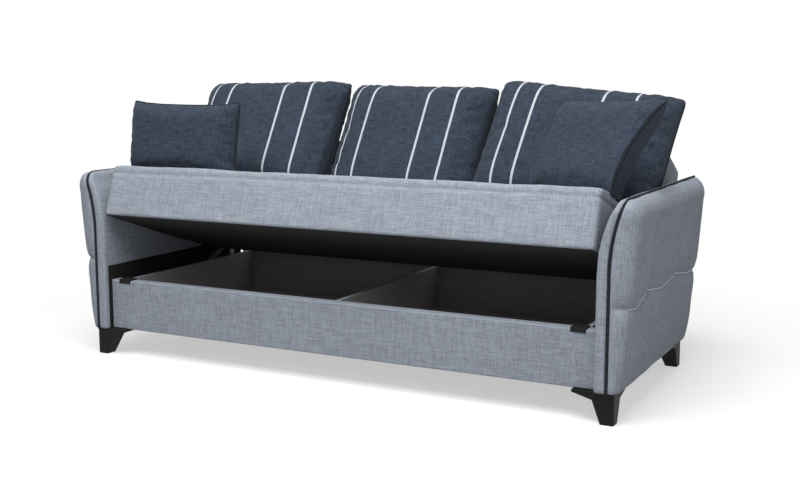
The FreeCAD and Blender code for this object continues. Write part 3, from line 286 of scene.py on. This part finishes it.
zinc = steel("zinc_plate", paint(190, 190, 186), paint(140, 140, 138), 0.4, 0.9)
spring_wire = steel("spring_wire", paint(170, 170, 172), paint(110, 110, 112), 0.32, 1.0)
tube_paint = steel("black_tube_paint", paint(40, 40, 42), paint(22, 22, 24), 0.45, 0.1)
for node in (
    "wall_brackets",
    "bracket_screws",
    "leg_screws",
    "base_bracket_left",
    "base_bracket_right",
    "pivot_pins",
    "spring_hook_pins",
    "gear_bracket_bolts",
    "knee_pins",
    "pawls",
    "spring_tail_pins",
    "seat_bolts",
    "seat_arm_left",
    "seat_arm_right",
    "back_arm_left",
    "back_arm_right",
    "back_bolts",
):
    dress(node, zinc)
for node in ("lift_spring_left", "lift_spring_right"):
    dress(node, spring_wire)
for node in ("seat_frame", "back_frame"):
    dress(node, tube_paint)


# Legs and stops: the legs are moulded in black plastic with a fine satin grain, the seat
# stops in black rubber folded over the rail.

def moulded(name, shade, rough):
    """Black moulding with a fine grain and a few lighter rubs."""
    finish = Finish(name, rough, Specular_IOR_Level=0.25)
    at = finish.place()
    rub = finish.noise(at, 14.0, 4.0)
    pale = paint(shade + 14, shade + 14, shade + 15)
    finish.colour(finish.blend(rub, paint(shade, shade, shade + 1), pale))
    finish.relief(finish.noise(at, 1400.0), 0.0002, 0.35)
    return finish


leg_plastic = moulded("leg_plastic", 12, 0.5)
stop_rubber = moulded("stop_rubber", 20, 0.7)
for corner in ("front_left", "front_right", "rear_left", "rear_right"):
    dress("leg_" + corner, leg_plastic)
for side in ("left", "right"):
    dress("seat_stop_" + side, stop_rubber)


# Arms: foam pads covered in the linen. The inner pad ends in a flat strip at the front. The
# outer pad swells, and is quilted by two pleats and by a scalloped seam. The seam's pale thread
# is painted near white, much paler than the thread itself, as a painted highlight along it.

def points_of(mesh):
    """All vertices of a mesh as an array."""
    values = np.empty(len(mesh.vertices) * 3)
    mesh.vertices.foreach_get("co", values)
    return values.reshape(-1, 3)


def normals_of(mesh):
    """All vertex normals of a mesh as an array."""
    values = np.empty(len(mesh.vertices) * 3)
    mesh.vertices.foreach_get("normal", values)
    return values.reshape(-1, 3)


def put_points(mesh, points):
    """Writes an array back as the vertices of a mesh."""
    mesh.vertices.foreach_set("co", points.reshape(-1))
    mesh.update()


def settle(piece):
    """Applies every modifier of a piece to its mesh."""
    graph = bpy.context.evaluated_depsgraph_get()
    finished = bpy.data.meshes.new_from_object(piece.evaluated_get(graph))
    piece.modifiers.clear()
    piece.data = finished


def padding_over(node, name, cell, easing, form):
    """A foam form: the node's own shape in even quads, eased, then moved by a formula."""
    mesh = nodes[node].data.copy()
    piece = bpy.data.objects.new(name, mesh)
    bpy.context.scene.collection.objects.link(piece)
    shell = bmesh.new()
    shell.from_mesh(mesh)
    bmesh.ops.remove_doubles(shell, verts=shell.verts, dist=1e-5)
    shell.to_mesh(mesh)
    shell.free()
    remesh = piece.modifiers.new("even", "REMESH")
    remesh.mode = "VOXEL"
    remesh.voxel_size = cell * 1
    ease = piece.modifiers.new("ease", "SMOOTH")
    ease.iterations = easing
    settle(piece)
    put_points(piece.data, form(points_of(piece.data), normals_of(piece.data)))
    for polygon in piece.data.polygons:
        polygon.use_smooth = True
    return piece


def ripples(across, along, length, seed):
    """Soft uneven waves, -1 to 1: the mean of four sines of growing length, each bent by a
    slower one along the other way."""
    total = np.zeros_like(across)
    for i in range(4):
        turn = seed * 1.7 + i * 2.4
        wide = 2 * np.pi / (length * (1 + 0.45 * i))
        total += np.sin(across * wide + 1.8 * np.sin(along * wide * 0.31 + turn) + turn * 3.1)
    return total / 4


def dent(distance, width):
    """A smooth trough: 1 on the line and near 0 three widths away."""
    return np.exp(-((distance / width) ** 2))


FOOTPRINT_MIDDLE = 0.482  # front rail face to the sofa's middle
PLEATS = (0.188, 0.540)  # behind the rail's face
PLEAT_LEANS = (0.02, 0.05)  # rearward for each metre up
PLEAT_HEIGHT = 0.388
PLEAT_END, PLEAT_FADE = 0.64, 0.12
GROOVE, VALLEY = 0.0065, 0.03  # widths of a seam's sharp fold and of the hollow beside it
TUFT_SIZE, CREASE_REACH = 0.016, 0.05
FORM_START, FORM_BLEND = 0.99, 0.02  # the quilting grows from the strip outwards
PAD_CELL = 0.006
PAD_EASING = 6
arm_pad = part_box("arm_outer_pad_right")


def scallop(y):
    """Height of the quilting seam: it hangs a little between its tufts."""
    behind = y + FOOTPRINT_MIDDLE
    knots = [-0.04, 0.06, PLEATS[0], 0.36, PLEATS[1], 0.70, 0.84]
    heights = [0.366, 0.352, PLEAT_HEIGHT, 0.366, PLEAT_HEIGHT - 0.003, 0.362, 0.354]
    return np.interp(behind, knots, heights)


def outer_pad_form(points, normals):
    """Seams sink into the pad and the foam puffs up between them."""
    y, z = points[:, 1], points[:, 2]
    outside = np.clip(np.abs(points[:, 0]) - FORM_START, 0, FORM_BLEND) / FORM_BLEND
    off = z - scallop(y)
    depth = dent(off, GROOVE) * 0.006 + dent(off, VALLEY) * 0.0065
    for pleat, lean in zip(PLEATS, PLEAT_LEANS):
        rise = z - PLEAT_HEIGHT
        off = y + FOOTPRINT_MIDDLE - pleat - rise * lean
        above = np.clip((PLEAT_END - z) / PLEAT_FADE, 0, 1) / (1 + np.exp(-rise / 0.006))
        depth = depth + above * (dent(off, GROOVE) * 0.004 + dent(off, VALLEY) * 0.0055)
        tuft = np.hypot(off, rise)
        depth = depth + dent(tuft, TUFT_SIZE) * 0.006
        crease = np.abs(np.sin(np.arctan2(rise, off) * 3.0))
        depth = depth + dent(tuft, CREASE_REACH) * 0.002 * (1 - crease)
    puff = 0.0018 * ripples(y, z, 0.16, 2.0)
    return points + normals * ((puff - depth) * outside)[:, None]


def inner_pad_form(points, normals):
    """A few shallow pulls near the top, where the cloth turns over the arm."""
    y, z = points[:, 1], points[:, 2]
    high = np.clip((z - 0.45) / 0.2, 0, 1)
    pulls = 0.0012 * ripples(z + 0.3 * y, y, 0.07, 5.0) * high
    slack = 0.0006 * ripples(y, z, 0.2, 1.0)
    return points + normals * (pulls + slack)[:, None]


def tube_along(name, route, radius, sides=14, closed=False):
    """A round section carried along a route; each ring stands square to the way there."""
    if closed:
        way = np.roll(route, -1, axis=0) - np.roll(route, 1, axis=0)
    else:
        way = np.gradient(route, axis=0)
    way /= np.linalg.norm(way, axis=1)[:, None]
    guide = np.tile([0.30, 0.22, 0.93], (len(route), 1))
    guide[np.abs(way @ guide[0]) > 0.9] = [0.9, -0.4, 0.1]
    side = np.cross(way, guide)
    side /= np.linalg.norm(side, axis=1)[:, None]
    for i in range(1, len(side)):
        side[i] = side[i - 1] - way[i] * (side[i - 1] @ way[i])
        side[i] /= np.linalg.norm(side[i])
    other = np.cross(way, side)
    turn = np.linspace(0, 2 * np.pi, sides, endpoint=False)
    ring = side[:, None] * np.cos(turn)[:, None] + other[:, None] * np.sin(turn)[:, None]
    points = (route[:, None] + ring * radius).reshape(-1, 3)
    rows = len(route) if closed else len(route) - 1
    i, j = np.meshgrid(np.arange(rows), np.arange(sides), indexing="ij")
    following, beside = (i + 1) % len(route), (j + 1) % sides
    start, end = i * sides, following * sides
    faces = np.stack([start + j, start + beside, end + beside, end + j], axis=-1)
    faces = faces.reshape(-1, 4).tolist()
    if not closed:
        last = (len(route) - 1) * sides
        faces += [list(range(sides))[::-1], list(range(last, last + sides))]
    return grid_piece(name, points, faces)


def grid_piece(name, points, faces):
    """A smooth mesh piece from an array of points and a list of faces."""
    mesh = bpy.data.meshes.new(name)
    mesh.from_pydata(points.tolist(), [], faces)
    mesh.update()
    for polygon in mesh.polygons:
        polygon.use_smooth = True
    piece = bpy.data.objects.new(name, mesh)
    bpy.context.scene.collection.objects.link(piece)
    return piece


THREAD_RADIUS = 0.0017
THREAD_STEPS = 170
THREAD_START, THREAD_END = 0.030, 0.012  # short of the pad's front and of its rear
BESIDE_SOFA = 1.4


def seam_route(piece, sign):
    """The scalloped seam laid on a pad: where level rays from beside the sofa meet it."""
    tree = BVHTree.FromObject(piece, bpy.context.evaluated_depsgraph_get())
    inward = Vector((-sign, 0, 0))
    way = np.linspace(arm_pad[0].y + THREAD_START, arm_pad[1].y - THREAD_END, THREAD_STEPS)
    starts = [Vector((sign * BESIDE_SOFA, y, z)) for y, z in zip(way, scallop(way))]
    hits = [tree.ray_cast(start, inward)[0] for start in starts]
    return np.array([hit[:] for hit in hits if hit is not None])


# Painted highlight: a pale thread painted near white, so that the seam shows as a light line even on
# the shaded outer side of the arm.
painted_highlight_thread = linen("painted_highlight_thread", paint(226, 230, 236), paint(196, 202, 210), slub=0.004)
for side, sign in (("left", -1), ("right", 1)):
    for part, form in (("outer", outer_pad_form), ("inner", inner_pad_form)):
        node = "arm_%s_pad_%s" % (part, side)
        name = "arm_%s_cover_%s" % (part, side)
        piece = padding_over(node, name, PAD_CELL, PAD_EASING, form)
        piece.data.materials.clear()
        piece.data.materials.append(body_linen.material)
        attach(piece, "base")
        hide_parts(node)
        if part == "inner":
            continue
        route = seam_route(piece, sign)
        stitched = tube_along("arm_seam_" + side, route, THREAD_RADIUS, 8)
        stitched.data.materials.append(painted_highlight_thread.material)
        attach(stitched, "base")


# Piping: a cord wrapped in navy linen, sewn in where strip and outer pad meet. It runs up
# the arm's front, round the top corner and back along the top.

navy_cord = linen("navy_piping_linen", paint(22, 28, 38), paint(10, 14, 20), slub=0.008)

STRIP_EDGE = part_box("arm_board_right")[0].x
PIPING_BACK = 0.036  # the piping's middle, ahead of the rail's face
FLARE_START = 0.470
FLARE_RADIUS = 0.560
NOSE_RADIUS = 0.050
PIPING_RADIUS = 0.0054
PIPING_BELOW_TOP = 0.003
SOLE_TO_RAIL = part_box("front_rail_cover")[0].z


def piping_route(sign, steps=240):
    """Upright line, flare arc, corner arc and top run, at even steps of length."""
    rise = arm_pad[1].z - PIPING_BELOW_TOP - FLARE_START
    tilt = math.asin(rise / math.hypot(FLARE_RADIUS, NOSE_RADIUS))
    tilt -= math.atan2(NOSE_RADIUS, FLARE_RADIUS)
    front = -FOOTPRINT_MIDDLE - PIPING_BACK
    lengths = np.array(
        [
            FLARE_START - SOLE_TO_RAIL,
            FLARE_RADIUS * tilt,
            NOSE_RADIUS * math.pi / 2,
            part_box("arm_piping_right")[1].y - front - NOSE_RADIUS,
        ]
    )
    ends = np.cumsum(lengths)
    walk = np.linspace(0, ends[-1], steps)
    stage = [np.clip(walk - end + length, 0, length) for end, length in zip(ends, lengths)]
    flare = stage[1] / FLARE_RADIUS
    corner = stage[2] / NOSE_RADIUS
    up_x, up_z = math.sin(tilt), math.cos(tilt)
    x = STRIP_EDGE + FLARE_RADIUS * (1 - np.cos(flare)) + NOSE_RADIUS * np.sin(corner) * up_x
    y = front + NOSE_RADIUS * (1 - np.cos(corner)) + stage[3]
    z = SOLE_TO_RAIL + stage[0] + FLARE_RADIUS * np.sin(flare) + NOSE_RADIUS * np.sin(corner) * up_z
    return np.stack([sign * x, y, z], axis=1)


for side, sign in (("left", -1), ("right", 1)):
    piece = tube_along("arm_piping_cord_" + side, piping_route(sign), PIPING_RADIUS)
    piece.data.materials.append(navy_cord.material)
    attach(piece, "base")
    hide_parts("arm_piping_" + side)


# Seat and backrest: foam blocks in the linen, crowned a little, with a sewn seam just
# below the top edge. Both tilt together, so their forms are worked out as if lowered.

lift_axis = Vector(joints["seat_lift"]["pos_m"])
LIFT = math.radians(-joints["seat_lift"]["range_deg"][0])
RECLINE = math.radians(8.6)
SEAT_TOP = 0.475
SEAT_BOTTOM = 0.292
SEAT_FRONT = -0.050 - FOOTPRINT_MIDDLE
SEAT_REAR = 0.594 - FOOTPRINT_MIDDLE
SEAT_HALF = 0.941
BACK_CORNER = (0.596 - FOOTPRINT_MIDDLE, 0.345)  # y and z of the back's lower front edge
SEAT_SEAM_DROP = 0.020
FRONT_SWELL = 0.012
HEAD_SEAMS = (0.024, 0.185)  # behind the back's face
FOAM_CELL = 0.007
FOAM_EASING = 6


def tilted(points, angle, centre):
    """Points turned about a line along X: positive lifts the front and lowers the rear."""
    y, z = points[:, 1] - centre[0], points[:, 2] - centre[1]
    turned = points.copy()
    turned[:, 1] = centre[0] + y * math.cos(angle) + z * math.sin(angle)
    turned[:, 2] = centre[1] - y * math.sin(angle) + z * math.cos(angle)
    return turned


def lowered(points):
    """Points of the lifted seat or back, turned to where they lie when it is down."""
    return tilted(points, -LIFT, (lift_axis.y, lift_axis.z))


def seat_form(points, normals):
    """A seam round the top edge, faint pulls across the front band and on the top, and foam
    that swells over the front edge."""
    flat = lowered(points)
    facing = lowered(points + normals) - flat
    x, y, z = flat[:, 0], flat[:, 1], flat[:, 2]
    upright = np.clip(1 - np.abs(facing[:, 2]) * 1.6, 0, 1)
    seam_line = z - (SEAT_TOP - SEAT_SEAM_DROP) - 0.0015 * ripples(x, x, 0.4, 6.0)
    seam = dent(seam_line, GROOVE) * 0.0055 - dent(seam_line - 0.012, 0.007) * 0.003
    level = np.clip(facing[:, 2] * 3 - 1.5, 0, 1)
    pulls = 0.0010 * ripples(x + 0.2 * z, z, 0.09, 4.0) * dent(z - SEAT_TOP + 0.05, 0.06)
    sit = 0.0022 * ripples(x, y, 0.33, 1.3) + 0.0010 * ripples(x + y, y - x, 0.11, 7.0)
    sit = sit + FRONT_SWELL * dent(y - SEAT_FRONT - 0.06, 0.11)
    low_edge = 0.0015 * ripples(x, z, 0.12, 9.0) * dent(z - SEAT_BOTTOM, 0.03)
    move = upright * (pulls - seam + low_edge) + level * sit
    return points + normals * move[:, None]


def back_form(points, normals):
    """The same cloth on the backrest: a seam near the head's edges and a soft surface."""
    flat = tilted(lowered(points), -RECLINE, BACK_CORNER)
    facing = tilted(lowered(points + normals), -RECLINE, BACK_CORNER) - flat
    x, y, z = flat[:, 0], flat[:, 1] - BACK_CORNER[0], flat[:, 2] - BACK_CORNER[1]
    crosswise = np.clip(1 - np.abs(facing[:, 1]) * 1.6, 0, 1)
    seam = sum(dent(y - behind, 0.0035) * 0.003 for behind in HEAD_SEAMS)
    soft = 0.0020 * ripples(x, z + y, 0.30, 2.2) + 0.0008 * ripples(x + z, y, 0.09, 3.0)
    return points + normals * (soft - crosswise * seam)[:, None]


for body, form in (("seat", seat_form), ("back", back_form)):
    node = body + "_upholstery"
    piece = padding_over(node, body + "_foam_cover", FOAM_CELL, FOAM_EASING, form)
    level = lowered(points_of(piece.data))
    if body == "back":
        level = tilted(level, -RECLINE, BACK_CORNER)
    values = piece.data.attributes.new("level", "FLOAT_VECTOR", "POINT")
    values.data.foreach_set("vector", level.reshape(-1).astype(np.float32))
    piece.data.materials.clear()
    piece.data.materials.append(tilted_linen.material)
    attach(piece, body)
    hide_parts(node)


# Loose cushions: stuffed covers of navy linen, sewn all round. The three back cushions
# have four narrow pale tapes woven in from top to bottom; the two throw pillows are plain.

STRIPES = (-0.245, -0.163, 0.085, 0.205)  # right of the cover's middle
STRIPE_WIDTH = 0.009
NAVY_PALE, NAVY_DARK = paint(54, 66, 82), paint(18, 24, 34)
TAPE_DARK, TAPE_PALE = paint(150, 156, 164), paint(190, 194, 200)


def on_sheet(finish):
    """Coordinates on the flat cover: across, and up, in metres from its middle."""
    return finish.node("ShaderNodeAttribute", {"attribute_name": "sheet"}, {}, 1)


navy_linen = linen("navy_linen", NAVY_PALE, NAVY_DARK, on_sheet)
striped_linen = linen("striped_navy_linen", NAVY_PALE, NAVY_DARK, on_sheet)


def add_stripes(finish):
    """Mixes the pale tapes over the weave where a point lies on one of them."""
    across = finish.part(on_sheet(finish), "X")
    tapes = 0.0
    for middle in STRIPES:
        tapes = tapes + (across.distance(middle) < STRIPE_WIDTH / 2)
    link = finish.shader.inputs["Base Color"].links[0]
    ground = Number(finish, link.from_socket)
    yarn = finish.noise(finish.scaled(on_sheet(finish), (500, 1, 160)), 1.0)
    tape = finish.blend(yarn, TAPE_DARK, TAPE_PALE)
    finish.colour(finish.blend(tapes, ground, tape))


add_stripes(striped_linen)


GATHER_LENGTH = 0.034
GATHER_DEPTH, GATHER_REACH = 0.16, 0.16  # both as a share: of the depth, and of half the sheet
COVER_CELL = 0.0085


def cover_points(width, height, thick, corner, pull, columns, rows):
    """Two sheets on one grid: depth is a product of two full profiles, 0 at the seam and
    gathered next to it; the outline is a superellipse whose sides a parabola draws in."""
    u, v = np.meshgrid(np.linspace(-1, 1, columns), np.linspace(-1, 1, rows), indexing="ij")
    u, v = np.sin(u * np.pi / 2) * 0.4 + u * 0.6, np.sin(v * np.pi / 2) * 0.4 + v * 0.6
    reach = np.maximum(np.abs(u), np.abs(v)) + 1e-9
    ease = reach / (np.abs(u) ** corner + np.abs(v) ** corner + 1e-30) ** (1 / corner)
    ease = 1 + (ease - 1) * reach**6
    x = u * ease * (width / 2 - pull * (1 - v**2) * np.abs(u) ** 3)
    z = v * ease * (height / 2 - pull * (1 - u**2) * np.abs(v) ** 3)
    depth = thick / 2 * ((1 - u**6) * (1 - v**6)) ** 0.55
    for near, along in ((1 - np.abs(u), z), (1 - np.abs(v), x)):
        gather = ripples(along, near * width, GATHER_LENGTH, 3.0 + width)
        depth = depth * (1 + GATHER_DEPTH * gather * dent(near, GATHER_REACH))
    return x, depth, z


def stuffed_cover(name, width, height, thick, corner, pull):
    """A closed cover: a front and a rear sheet that share the vertices of their edge. It is
    given back with the numbers of those vertices in order."""
    columns, rows = int(width / COVER_CELL), int(height / COVER_CELL)
    x, depth, z = cover_points(width, height, thick, corner, pull, columns, rows)
    front = np.stack([x, -depth, z], axis=-1).reshape(-1, 3)
    rear = np.stack([x, depth, z], axis=-1).reshape(-1, 3)
    i, j = np.meshgrid(np.arange(columns - 1), np.arange(rows - 1), indexing="ij")
    first, second = i * rows + j, (i + 1) * rows + j
    quad = np.stack([first, second, second + 1, first + 1], axis=-1).reshape(-1, 4)
    edge = np.zeros((columns, rows), bool)
    edge[[0, -1]] = True
    edge[:, [0, -1]] = True
    edge = edge.reshape(-1)
    shared = np.where(edge, np.arange(len(front)), np.cumsum(~edge) - 1 + len(front))
    points = np.concatenate([front, rear[~edge]])
    faces = np.concatenate([quad, shared[quad][:, ::-1]])
    piece = grid_piece(name, points, faces.tolist())
    loop = np.concatenate(
        [
            np.arange(columns) * rows,
            (columns - 1) * rows + np.arange(1, rows),
            np.arange(columns - 2, -1, -1) * rows + rows - 1,
            np.arange(rows - 2, 0, -1),
        ]
    )
    return piece, loop


CLOTH = {
    "quality": 6,
    "mass": 0.35,
    "tension_stiffness": 18,
    "compression_stiffness": 12,
    "shear_stiffness": 6,
    "bending_stiffness": 0.35,
    "use_pressure": True,
    "uniform_pressure_force": 4.0,
}
FILLING_FRAMES = 20
MOST_MOVED = 0.012


def inflate(piece):
    """Lets the cover fill with air as cloth, so that its seams pull it into wrinkles. No
    point moves further than the limit."""
    start = points_of(piece.data)
    cloth = piece.modifiers.new("stuffing", "CLOTH")
    for name, value in CLOTH.items():
        setattr(cloth.settings, name, value)
    cloth.settings.effector_weights.gravity = 0
    cloth.point_cache.frame_start = 1
    cloth.point_cache.frame_end = FILLING_FRAMES
    for moment in range(1, FILLING_FRAMES + 1):
        bpy.context.scene.frame_set(moment)
    settle(piece)
    bpy.context.scene.frame_set(1)
    step = points_of(piece.data) - start
    length = np.linalg.norm(step, axis=1)[:, None]
    held = np.minimum(1, MOST_MOVED / np.maximum(length, 1e-9))
    put_points(piece.data, start + step * held)


SEAT_CROWN, SEAT_EDGE = 0.012, 0.02
CLOTH_GAP = 0.0015  # kept between a cover and the seat
BACK_GAP = 0.0138  # kept between a cover and the flat face of the back, whose foam swells
INNER_FLARE = 0.416  # radius of the arm's inner face above the start of its flare


def seat_surface(flat):
    """Height of the lowered seat's crown: an arc from its front edge to its rear edge."""
    middle = (SEAT_FRONT + SEAT_REAR) / 2
    reach = (SEAT_REAR - SEAT_FRONT) / 2 - SEAT_EDGE
    return SEAT_TOP + SEAT_CROWN * (1 - ((flat[:, 1] - middle) / reach) ** 2)


def set_down(points, foot, turns, height, beside, against_back):
    """Rolls, leans and turns a cover on its foot, then presses it flat where it touches the
    seat, the back, an arm or a neighbour; beside holds the planes on its left and right."""
    yaw, lean, roll = turns
    turn = Euler((0, 0, math.radians(yaw))).to_matrix()
    turn = turn @ Euler((math.radians(-lean), 0, 0)).to_matrix()
    turn = np.array(turn @ Euler((0, math.radians(roll), 0)).to_matrix())
    flat = (points + [0, 0, height / 2]) @ turn.T + foot
    if against_back:
        upright = tilted(flat, -RECLINE, BACK_CORNER)
        upright[:, 1] = np.minimum(upright[:, 1], BACK_CORNER[0] - BACK_GAP)
        flat = tilted(upright, RECLINE, BACK_CORNER)
    flat[:, 2] = np.maximum(flat[:, 2], seat_surface(flat) + CLOTH_GAP)
    (left_x, left_slope), (right_x, right_slope) = beside
    above = flat[:, 2] - SEAT_TOP
    flat[:, 0] = np.clip(flat[:, 0], left_x + left_slope * above, right_x + right_slope * above)
    reach = SEAT_HALF + np.clip(flat[:, 2] - FLARE_START, 0, 1) ** 2 / (2 * INNER_FLARE)
    flat[:, 0] = np.clip(flat[:, 0], -reach, reach)
    return tilted(flat, LIFT, (lift_axis.y, lift_axis.z))


# Each cover: width, height, thickness, power of its outline, and how far its sides draw in
CUSHION_HEIGHT, CUSHION_THICK = 0.530, 0.192
LEFT_COVER = (0.666, CUSHION_HEIGHT, CUSHION_THICK, 26, 0.004)
MIDDLE_COVER = (0.652, CUSHION_HEIGHT, CUSHION_THICK, 26, 0.004)
RIGHT_COVER = (0.706, CUSHION_HEIGHT, CUSHION_THICK, 26, 0.004)
LEFT_PILLOW = (0.512, 0.292, 0.112, 60, 0.004)
RIGHT_PILLOW = (0.514, 0.376, 0.116, 60, 0.004)

# Each plane between two covers: x at the lowered seat's top, and how much it grows upwards
OPEN_LEFT, OPEN_RIGHT = (-2.0, 0), (2.0, 0)
LEFT_OF_JOIN, RIGHT_OF_JOIN = (-0.3185, 0), (-0.3145, 0)
MIDDLE_END, RIGHT_START = (0.2845, 0.062), (0.2885, 0.062)

# Each foot: x and y on the lowered seat; each set of turns: yaw, lean and roll in degrees
LEFT_FOOT, LEFT_TURNS = (-0.614, SEAT_REAR - 0.205), (2, 14.8, -2.1)
MIDDLE_FOOT, MIDDLE_TURNS = (-0.024, SEAT_REAR - 0.112), (-3, 10.2, 1.8)
RIGHT_FOOT, RIGHT_TURNS = (0.624, SEAT_REAR - 0.135), (2, 12.7, 5.3)
LEFT_PILLOW_FOOT, LEFT_PILLOW_TURNS = (-0.736, SEAT_FRONT + 0.150), (0, -9.5, 0.4)
RIGHT_PILLOW_FOOT, RIGHT_PILLOW_TURNS = (0.787, SEAT_FRONT + 0.220), (-28.7, 12.6, 8.1)

BACK_CUSHIONS = (
    ("left", LEFT_COVER, LEFT_FOOT, LEFT_TURNS, (OPEN_LEFT, LEFT_OF_JOIN)),
    ("middle", MIDDLE_COVER, MIDDLE_FOOT, MIDDLE_TURNS, (RIGHT_OF_JOIN, MIDDLE_END)),
    ("right", RIGHT_COVER, RIGHT_FOOT, RIGHT_TURNS, (RIGHT_START, OPEN_RIGHT)),
)
THROW_PILLOWS = (
    ("left", LEFT_PILLOW, LEFT_PILLOW_FOOT, LEFT_PILLOW_TURNS, (OPEN_LEFT, OPEN_RIGHT)),
    ("right", RIGHT_PILLOW, RIGHT_PILLOW_FOOT, RIGHT_PILLOW_TURNS, (OPEN_LEFT, OPEN_RIGHT)),
)
REAR_SHEET_SHIFT = 0.4  # the rear sheet takes its weave from another stretch of the cloth
SEAM_CORD_RADIUS = 0.0022


def loose_piece(node, body, finish, slot, fill, cover, foot, turns, beside):
    """Sews, fills and sets down one cover, with the cord along its seam."""
    piece, loop = stuffed_cover(node + "_cover", *cover)
    sheet = points_of(piece.data).copy()
    sheet[:, 1] = np.where(sheet[:, 1] > 0, REAR_SHEET_SHIFT, 0.0)
    inflate(piece)
    against_back = body.startswith("cushion")
    place = np.array([*foot, SEAT_TOP])
    points = set_down(points_of(piece.data), place, turns, cover[1], beside, against_back)
    put_points(piece.data, points)
    values = piece.data.attributes.new("sheet", "FLOAT_VECTOR", "POINT")
    values.data.foreach_set("vector", sheet.reshape(-1).astype(np.float32))
    piece.data.materials.append(finish.material)
    soften = piece.modifiers.new("soften", "SUBSURF")
    soften.levels = 1
    soften.render_levels = 1
    settle(piece)
    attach(piece, body)
    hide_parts(node)
    seam = tube_along(node + "_seam", points[loop], SEAM_CORD_RADIUS, 8, True)
    seam.data.materials.append(navy_cord.material)
    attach(seam, body)


for side, *form in BACK_CUSHIONS:
    loose_piece("back_cushion_" + side, "cushion_" + side, striped_linen, "striped_linen", 0.75, *form)
for side, *form in THROW_PILLOWS:
    loose_piece("throw_pillow_" + side, "pillow_" + side, navy_linen, "navy_linen", 0.7, *form)


# Studio: a pale floor that fades to white, one large soft lamp above the front, a weaker
# one on the right, and an even sky.

FADE_START, FADE_END = 1.25, 2.1  # from the sofa's middle
LIT_FLOOR, SEEN_FLOOR = (0.4, 0.4, 0.4, 1), (0.9, 0.9, 0.9, 1)
FLOOR_REACH = 30
SKY_STRENGTH = 0.34


def floor_finish():
    """Pale matt floor; the camera and reflections see white far from the sofa."""
    finish = Finish("studio_floor", 0.9)
    tree = finish.tree
    white = tree.nodes.new("ShaderNodeEmission")
    white.inputs["Strength"].default_value = 1.0
    ray = tree.nodes.new("ShaderNodeLightPath")
    camera_ray = Number(finish, ray.outputs["Is Camera Ray"])
    finish.colour(finish.blend(camera_ray, LIT_FLOOR, SEEN_FLOOR))
    seen = camera_ray.math("MAXIMUM", camera_ray, Number(finish, ray.outputs["Is Glossy Ray"]))
    away = finish.node("ShaderNodeVectorMath", {"operation": "LENGTH"}, [finish.place()], 1)
    fade = finish.ramp(away, FADE_START, FADE_END)
    mix = tree.nodes.new("ShaderNodeMixShader")
    tree.links.new((seen * (fade * 0.5 + 0.5)).socket, mix.inputs[0])
    tree.links.new(finish.shader.outputs[0], mix.inputs[1])
    tree.links.new(white.outputs[0], mix.inputs[2])
    tree.links.new(mix.outputs[0], tree.nodes["Material Output"].inputs["Surface"])
    return finish


floor_corners = np.array([[-1, -1, 0], [1, -1, 0], [1, 1, 0], [-1, 1, 0]], float) * FLOOR_REACH
floor = grid_piece("studio_floor", floor_corners, [[0, 1, 2, 3]])
floor.data.materials.append(floor_finish().material)

world = bpy.data.worlds.new("studio")
bpy.context.scene.world = world
world.use_nodes = True
sky = world.node_tree
backdrop = sky.nodes["Background"]
backdrop.inputs["Color"].default_value = (1, 1, 1, 1)
ray = sky.nodes.new("ShaderNodeLightPath")
either = sky.nodes.new("ShaderNodeMath")
either.operation = "MAXIMUM"
sky.links.new(ray.outputs["Is Camera Ray"], either.inputs[0])
sky.links.new(ray.outputs["Is Transmission Ray"], either.inputs[1])
strength = sky.nodes.new("ShaderNodeMapRange")
strength.inputs["To Min"].default_value = SKY_STRENGTH
strength.inputs["To Max"].default_value = 1.0
sky.links.new(either.outputs[0], strength.inputs["Value"])
sky.links.new(strength.outputs[0], backdrop.inputs["Strength"])


def lamp(name, place, target, size, power):
    """A square area lamp that faces a point."""
    light = bpy.data.lights.new(name, "AREA")
    light.size = size
    light.energy = power
    made = bpy.data.objects.new(name, light)
    bpy.context.scene.collection.objects.link(made)
    made.location = place
    made.rotation_euler = (Vector(target) - Vector(place)).to_track_quat("-Z", "Y").to_euler()


lamp("key", (0.3, -2.2, 4.4), (0, 0, 0.4), 3.4, 300)
lamp("fill", (3.2, -2.4, 2.2), (0, 0, 0.4), 2.4, 26)


# Camera: to the right in front of the sofa, a little over a metre above the floor, tipped
# down to look at the seat.

camera = bpy.data.cameras.new("camera")
camera.sensor_width = 36
camera.lens = 50.91
viewer = bpy.data.objects.new("camera", camera)
bpy.context.scene.collection.objects.link(viewer)
viewer.location = (1.94355, -3.72137, 1.05253)
viewer.rotation_euler = (math.radians(81.47), 0, math.radians(27.25))
bpy.context.scene.camera = viewer
bpy.context.scene.view_settings.view_transform = "Standard"
